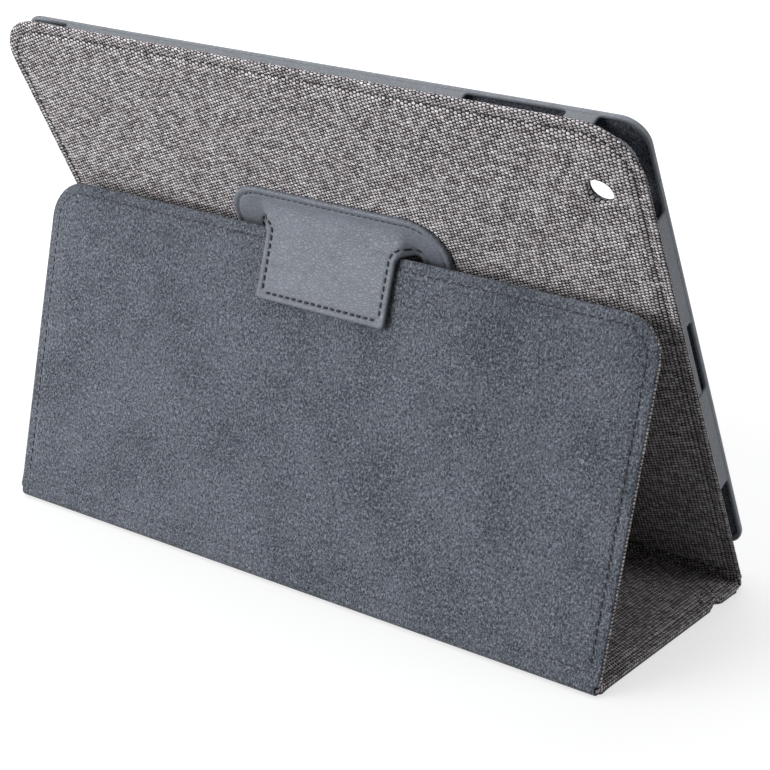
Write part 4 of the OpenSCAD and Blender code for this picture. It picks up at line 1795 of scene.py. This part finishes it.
@dataclass
class Studio:
    """Plain floor, soft lamps and the camera."""

    azimuth: float = 36.08  # the camera's azimuth in degrees, 0 looking along +Y
    elevation: float = 23.41  # its elevation in degrees
    roll: float = 1.21  # its roll in degrees
    distance: float = 627.4  # its distance from the point it is aimed at, in millimetres
    target: tuple[float, float, float] = (55.4, -75.5, 61.2)
    focal: float = 2048.6  # focal length in pixels of the image
    centre: tuple[float, float] = (371.57, 486.05)  # pixel of the optical axis
    image: float = 770.0  # width and height of the image in pixels
    sensor: float = 36.0  # width of the sensor in millimetres
    clip: tuple[float, float] = (0.01, 50.0)  # nearest and furthest distance that shows, in metres
    ambient: float = 0.045  # strength of the world's light on the object
    aim: float = 0.08  # height that the lamps are aimed at, in metres
    # azimuth, elevation, distance, side in metres and power in watts of the lamp at the left
    key: tuple[float, ...] = (-30.0, 11.0, 1.3, 0.9, 18.6)
    top: tuple[float, ...] = (-50.0, 72.0, 1.6, 1.4, 20.0)  # the same for the lamp above
    fill: tuple[float, ...] = (104.0, 26.0, 1.6, 0.8, 6.0)  # the same for the lamp at the right
    rear: tuple[float, ...] = (205.0, 32.0, 1.6, 1.2, 7.5)  # the same for the lamp behind the case
    floor_half: float = 4.0  # half of the floor's side in metres
    floor_gap: float = 0.0002  # how far the floor lies below the case, in metres
    paper: tuple[float, ...] = (0.36, 0.365, 0.365, 1.0)  # the floor's linear colour
    glow: tuple[float, float] = (0.66, 1.0)  # how white the floor shows near the case, and further off
    glow_reach: tuple[float, float] = (0.12, 0.6)  # distances in metres between which that changes

    def camera(self) -> None:
        """Makes the camera."""
        a, r = math.radians(self.azimuth), math.radians(self.roll)
        back = away_from(self.azimuth, self.elevation)
        level = Vector((math.cos(a), math.sin(a), 0.0))
        rise = back.cross(level)
        right = math.cos(r) * level + math.sin(r) * rise
        up = -math.sin(r) * level + math.cos(r) * rise
        data = bpy.data.cameras.new("camera")
        data.sensor_width = self.sensor
        data.lens = self.sensor * self.focal / self.image
        data.shift_x = (self.image / 2 - self.centre[0]) / self.image
        data.shift_y = (self.centre[1] - self.image / 2) / self.image
        data.clip_start, data.clip_end = self.clip
        camera = bpy.data.objects.new("camera", data)
        place = (Vector(self.target) + back * self.distance) * MM
        turn = Matrix((right, up, back)).transposed()
        camera.matrix_world = Matrix.Translation(place) @ turn.to_4x4()
        bpy.context.scene.collection.objects.link(camera)
        bpy.context.scene.camera = camera

    def lamp(self, name: str, row: tuple[float, ...]) -> None:
        """Makes a square soft lamp aimed at the case.

        Args:
            name: The lamp's name.
            row: Its azimuth, elevation, distance, side and power, as the fields give them.
        """
        azimuth, elevation, distance, side, power = row
        data = bpy.data.lights.new(name, "AREA")
        data.shape = "SQUARE"
        data.size = side
        data.energy = power
        back = away_from(azimuth, elevation)
        lamp = bpy.data.objects.new(name, data)
        lamp.location = Vector((0.0, 0.0, self.aim)) + back * distance
        lamp.rotation_mode = "QUATERNION"
        lamp.rotation_quaternion = (-back).to_track_quat("-Z", "Y")
        bpy.context.scene.collection.objects.link(lamp)

    def world(self) -> None:
        """Makes the world: white to the camera and in gloss, and dim as a light."""
        world = bpy.data.worlds.new("studio")
        g = Graph(world, "Background", "OutputWorld")
        path = g.add("LightPath").outputs
        seen = g.add("Math", path["Is Camera Ray"], path["Is Glossy Ray"], operation="MAXIMUM")
        seen = g.add("Math", seen, path["Is Transmission Ray"], operation="MAXIMUM")
        strength = g.add("MapRange", seen, To_Min=self.ambient, To_Max=1.0)
        g.dress(Color=(1.0, 1.0, 1.0, 1.0), Strength=strength)
        bpy.context.scene.world = world

    def floor(self) -> None:
        """Makes the pale floor, which shows white and keeps the case's shadow."""
        half = self.floor_half
        corners = [(-half, -half, 0.0), (half, -half, 0.0), (half, half, 0.0), (-half, half, 0.0)]
        mesh = bpy.data.meshes.new("studio_floor")
        mesh.from_pydata(corners, [], [(0, 1, 2, 3)])
        floor = bpy.data.objects.new("studio_floor", mesh)
        floor.location.z = -self.floor_gap
        bpy.context.scene.collection.objects.link(floor)
        material = bpy.data.materials.new("studio_paper")
        g = Graph(material)
        where = g.add("TexCoord").outputs["Object"]
        away = g.add("VectorMath", where, operation="LENGTH").outputs["Value"]
        glow = g.add("MapRange", away, *self.glow_reach, *self.glow, interpolation_type="SMOOTHSTEP")
        path = g.add("LightPath").outputs
        seen = g.add("Math", path["Is Camera Ray"], path["Is Glossy Ray"], operation="MAXIMUM")
        g.dress(
            Base_Color=self.paper,
            Roughness=1.0,
            Specular_IOR_Level=0.0,
            Emission_Color=(1.0, 1.0, 1.0, 1.0),
            Emission_Strength=g.add("Math", seen, glow, operation="MULTIPLY"),
        )
        mesh.materials.append(material)

    def build(self) -> None:
        """Makes the whole stage."""
        self.camera()
        self.world()
        lamps = {"key": self.key, "top": self.top, "fill": self.fill, "rear": self.rear}
        for name, row in lamps.items():
            self.lamp(f"{name}_lamp", row)
        self.floor()
        bpy.context.scene.view_settings.view_transform = "Standard"


def dress_nodes() -> None:
    """Gives every CAD node the finish of its slot."""
    plain = (WovenTweed(), NappedSuede(), SmoothLeather(), GreyBoard(), WaxedThread())
    finishes = {finish.slot.value: finish for finish in plain}
    for part in frame["record"]["subparts"]:
        materials = frame["nodes"][part["node"]].data.materials
        materials.clear()
        materials.append(finishes[part["material_slot"]].make())


def main() -> None:
    """Builds the case and its stage."""
    logging.basicConfig(level=logging.INFO, format="%(message)s")
    Studio().build()
    dress_nodes()
    back = leaning_plane("spine_hinge", BACK_FOLD_DEPTH, BACK_ANGLE, -1.0)
    prop = leaning_plane("crease_hinge", COVER_FOLD_DEPTH, PROP_ANGLE, 1.0)
    ground = ground_plane()
    rear, front, crease = (joint_at(name) for name in ("spine_hinge", "cover_hinge", "crease_hinge"))
    tab = Tab(back, prop)
    assemblies = (
        BackPanel(back),
        CoverPanel(
            "prop", Body.PROP, prop, COVER_FOLD_HALF, tab.prop_top,
            r1=13.6, stitch_end=True, nap_start=-0.8, swell=0.3,
        ),
        CoverPanel(
            "floor", Body.FLOOR, ground, crease[0] + COVER_FOLD_HALF, front[0] - COVER_FOLD_HALF,
            r1=3.2, nap_start=-0.8,
        ),
        CoverPanel(
            "spine", Body.SPINE, ground, front[0] + COVER_FOLD_HALF, rear[0] - BACK_FOLD_HALF, r0=3.2
        ),
        Fold(
            "crease_strip", "crease_fold", (Body.FLOOR, Body.PROP), crease, (0.0, PROP_ANGLE),
            depth=COVER_FOLD_DEPTH, backs=(2.6, 2.6), reach=2.4, half_width=124.8, bend=0.28,
        ),
        Fold(
            "front_strip", "spine_front_fold", (Body.SPINE, Body.FLOOR), front, (0.0, 180.0),
            depth=2.6, backs=(0.6, 0.6), reach=2.4, half_width=123.7, bend=1.2,
        ),
        Fold(
            "rear_strip", "spine_rear_fold", (Body.HOLDER, Body.SPINE), rear,
            (180.0 - BACK_ANGLE, 180.0), depth=BACK_FOLD_DEPTH, backs=(1.7, 2.1), reach=4.0,
            half_width=124.3, bend=0.31,
        ),
        TabletFrame(SaggingPlane(back.origin, back.along, back.normal)),
        tab,
    )
    for assembly in assemblies:
        assembly.build()


if __name__ == "__main__":
    main()
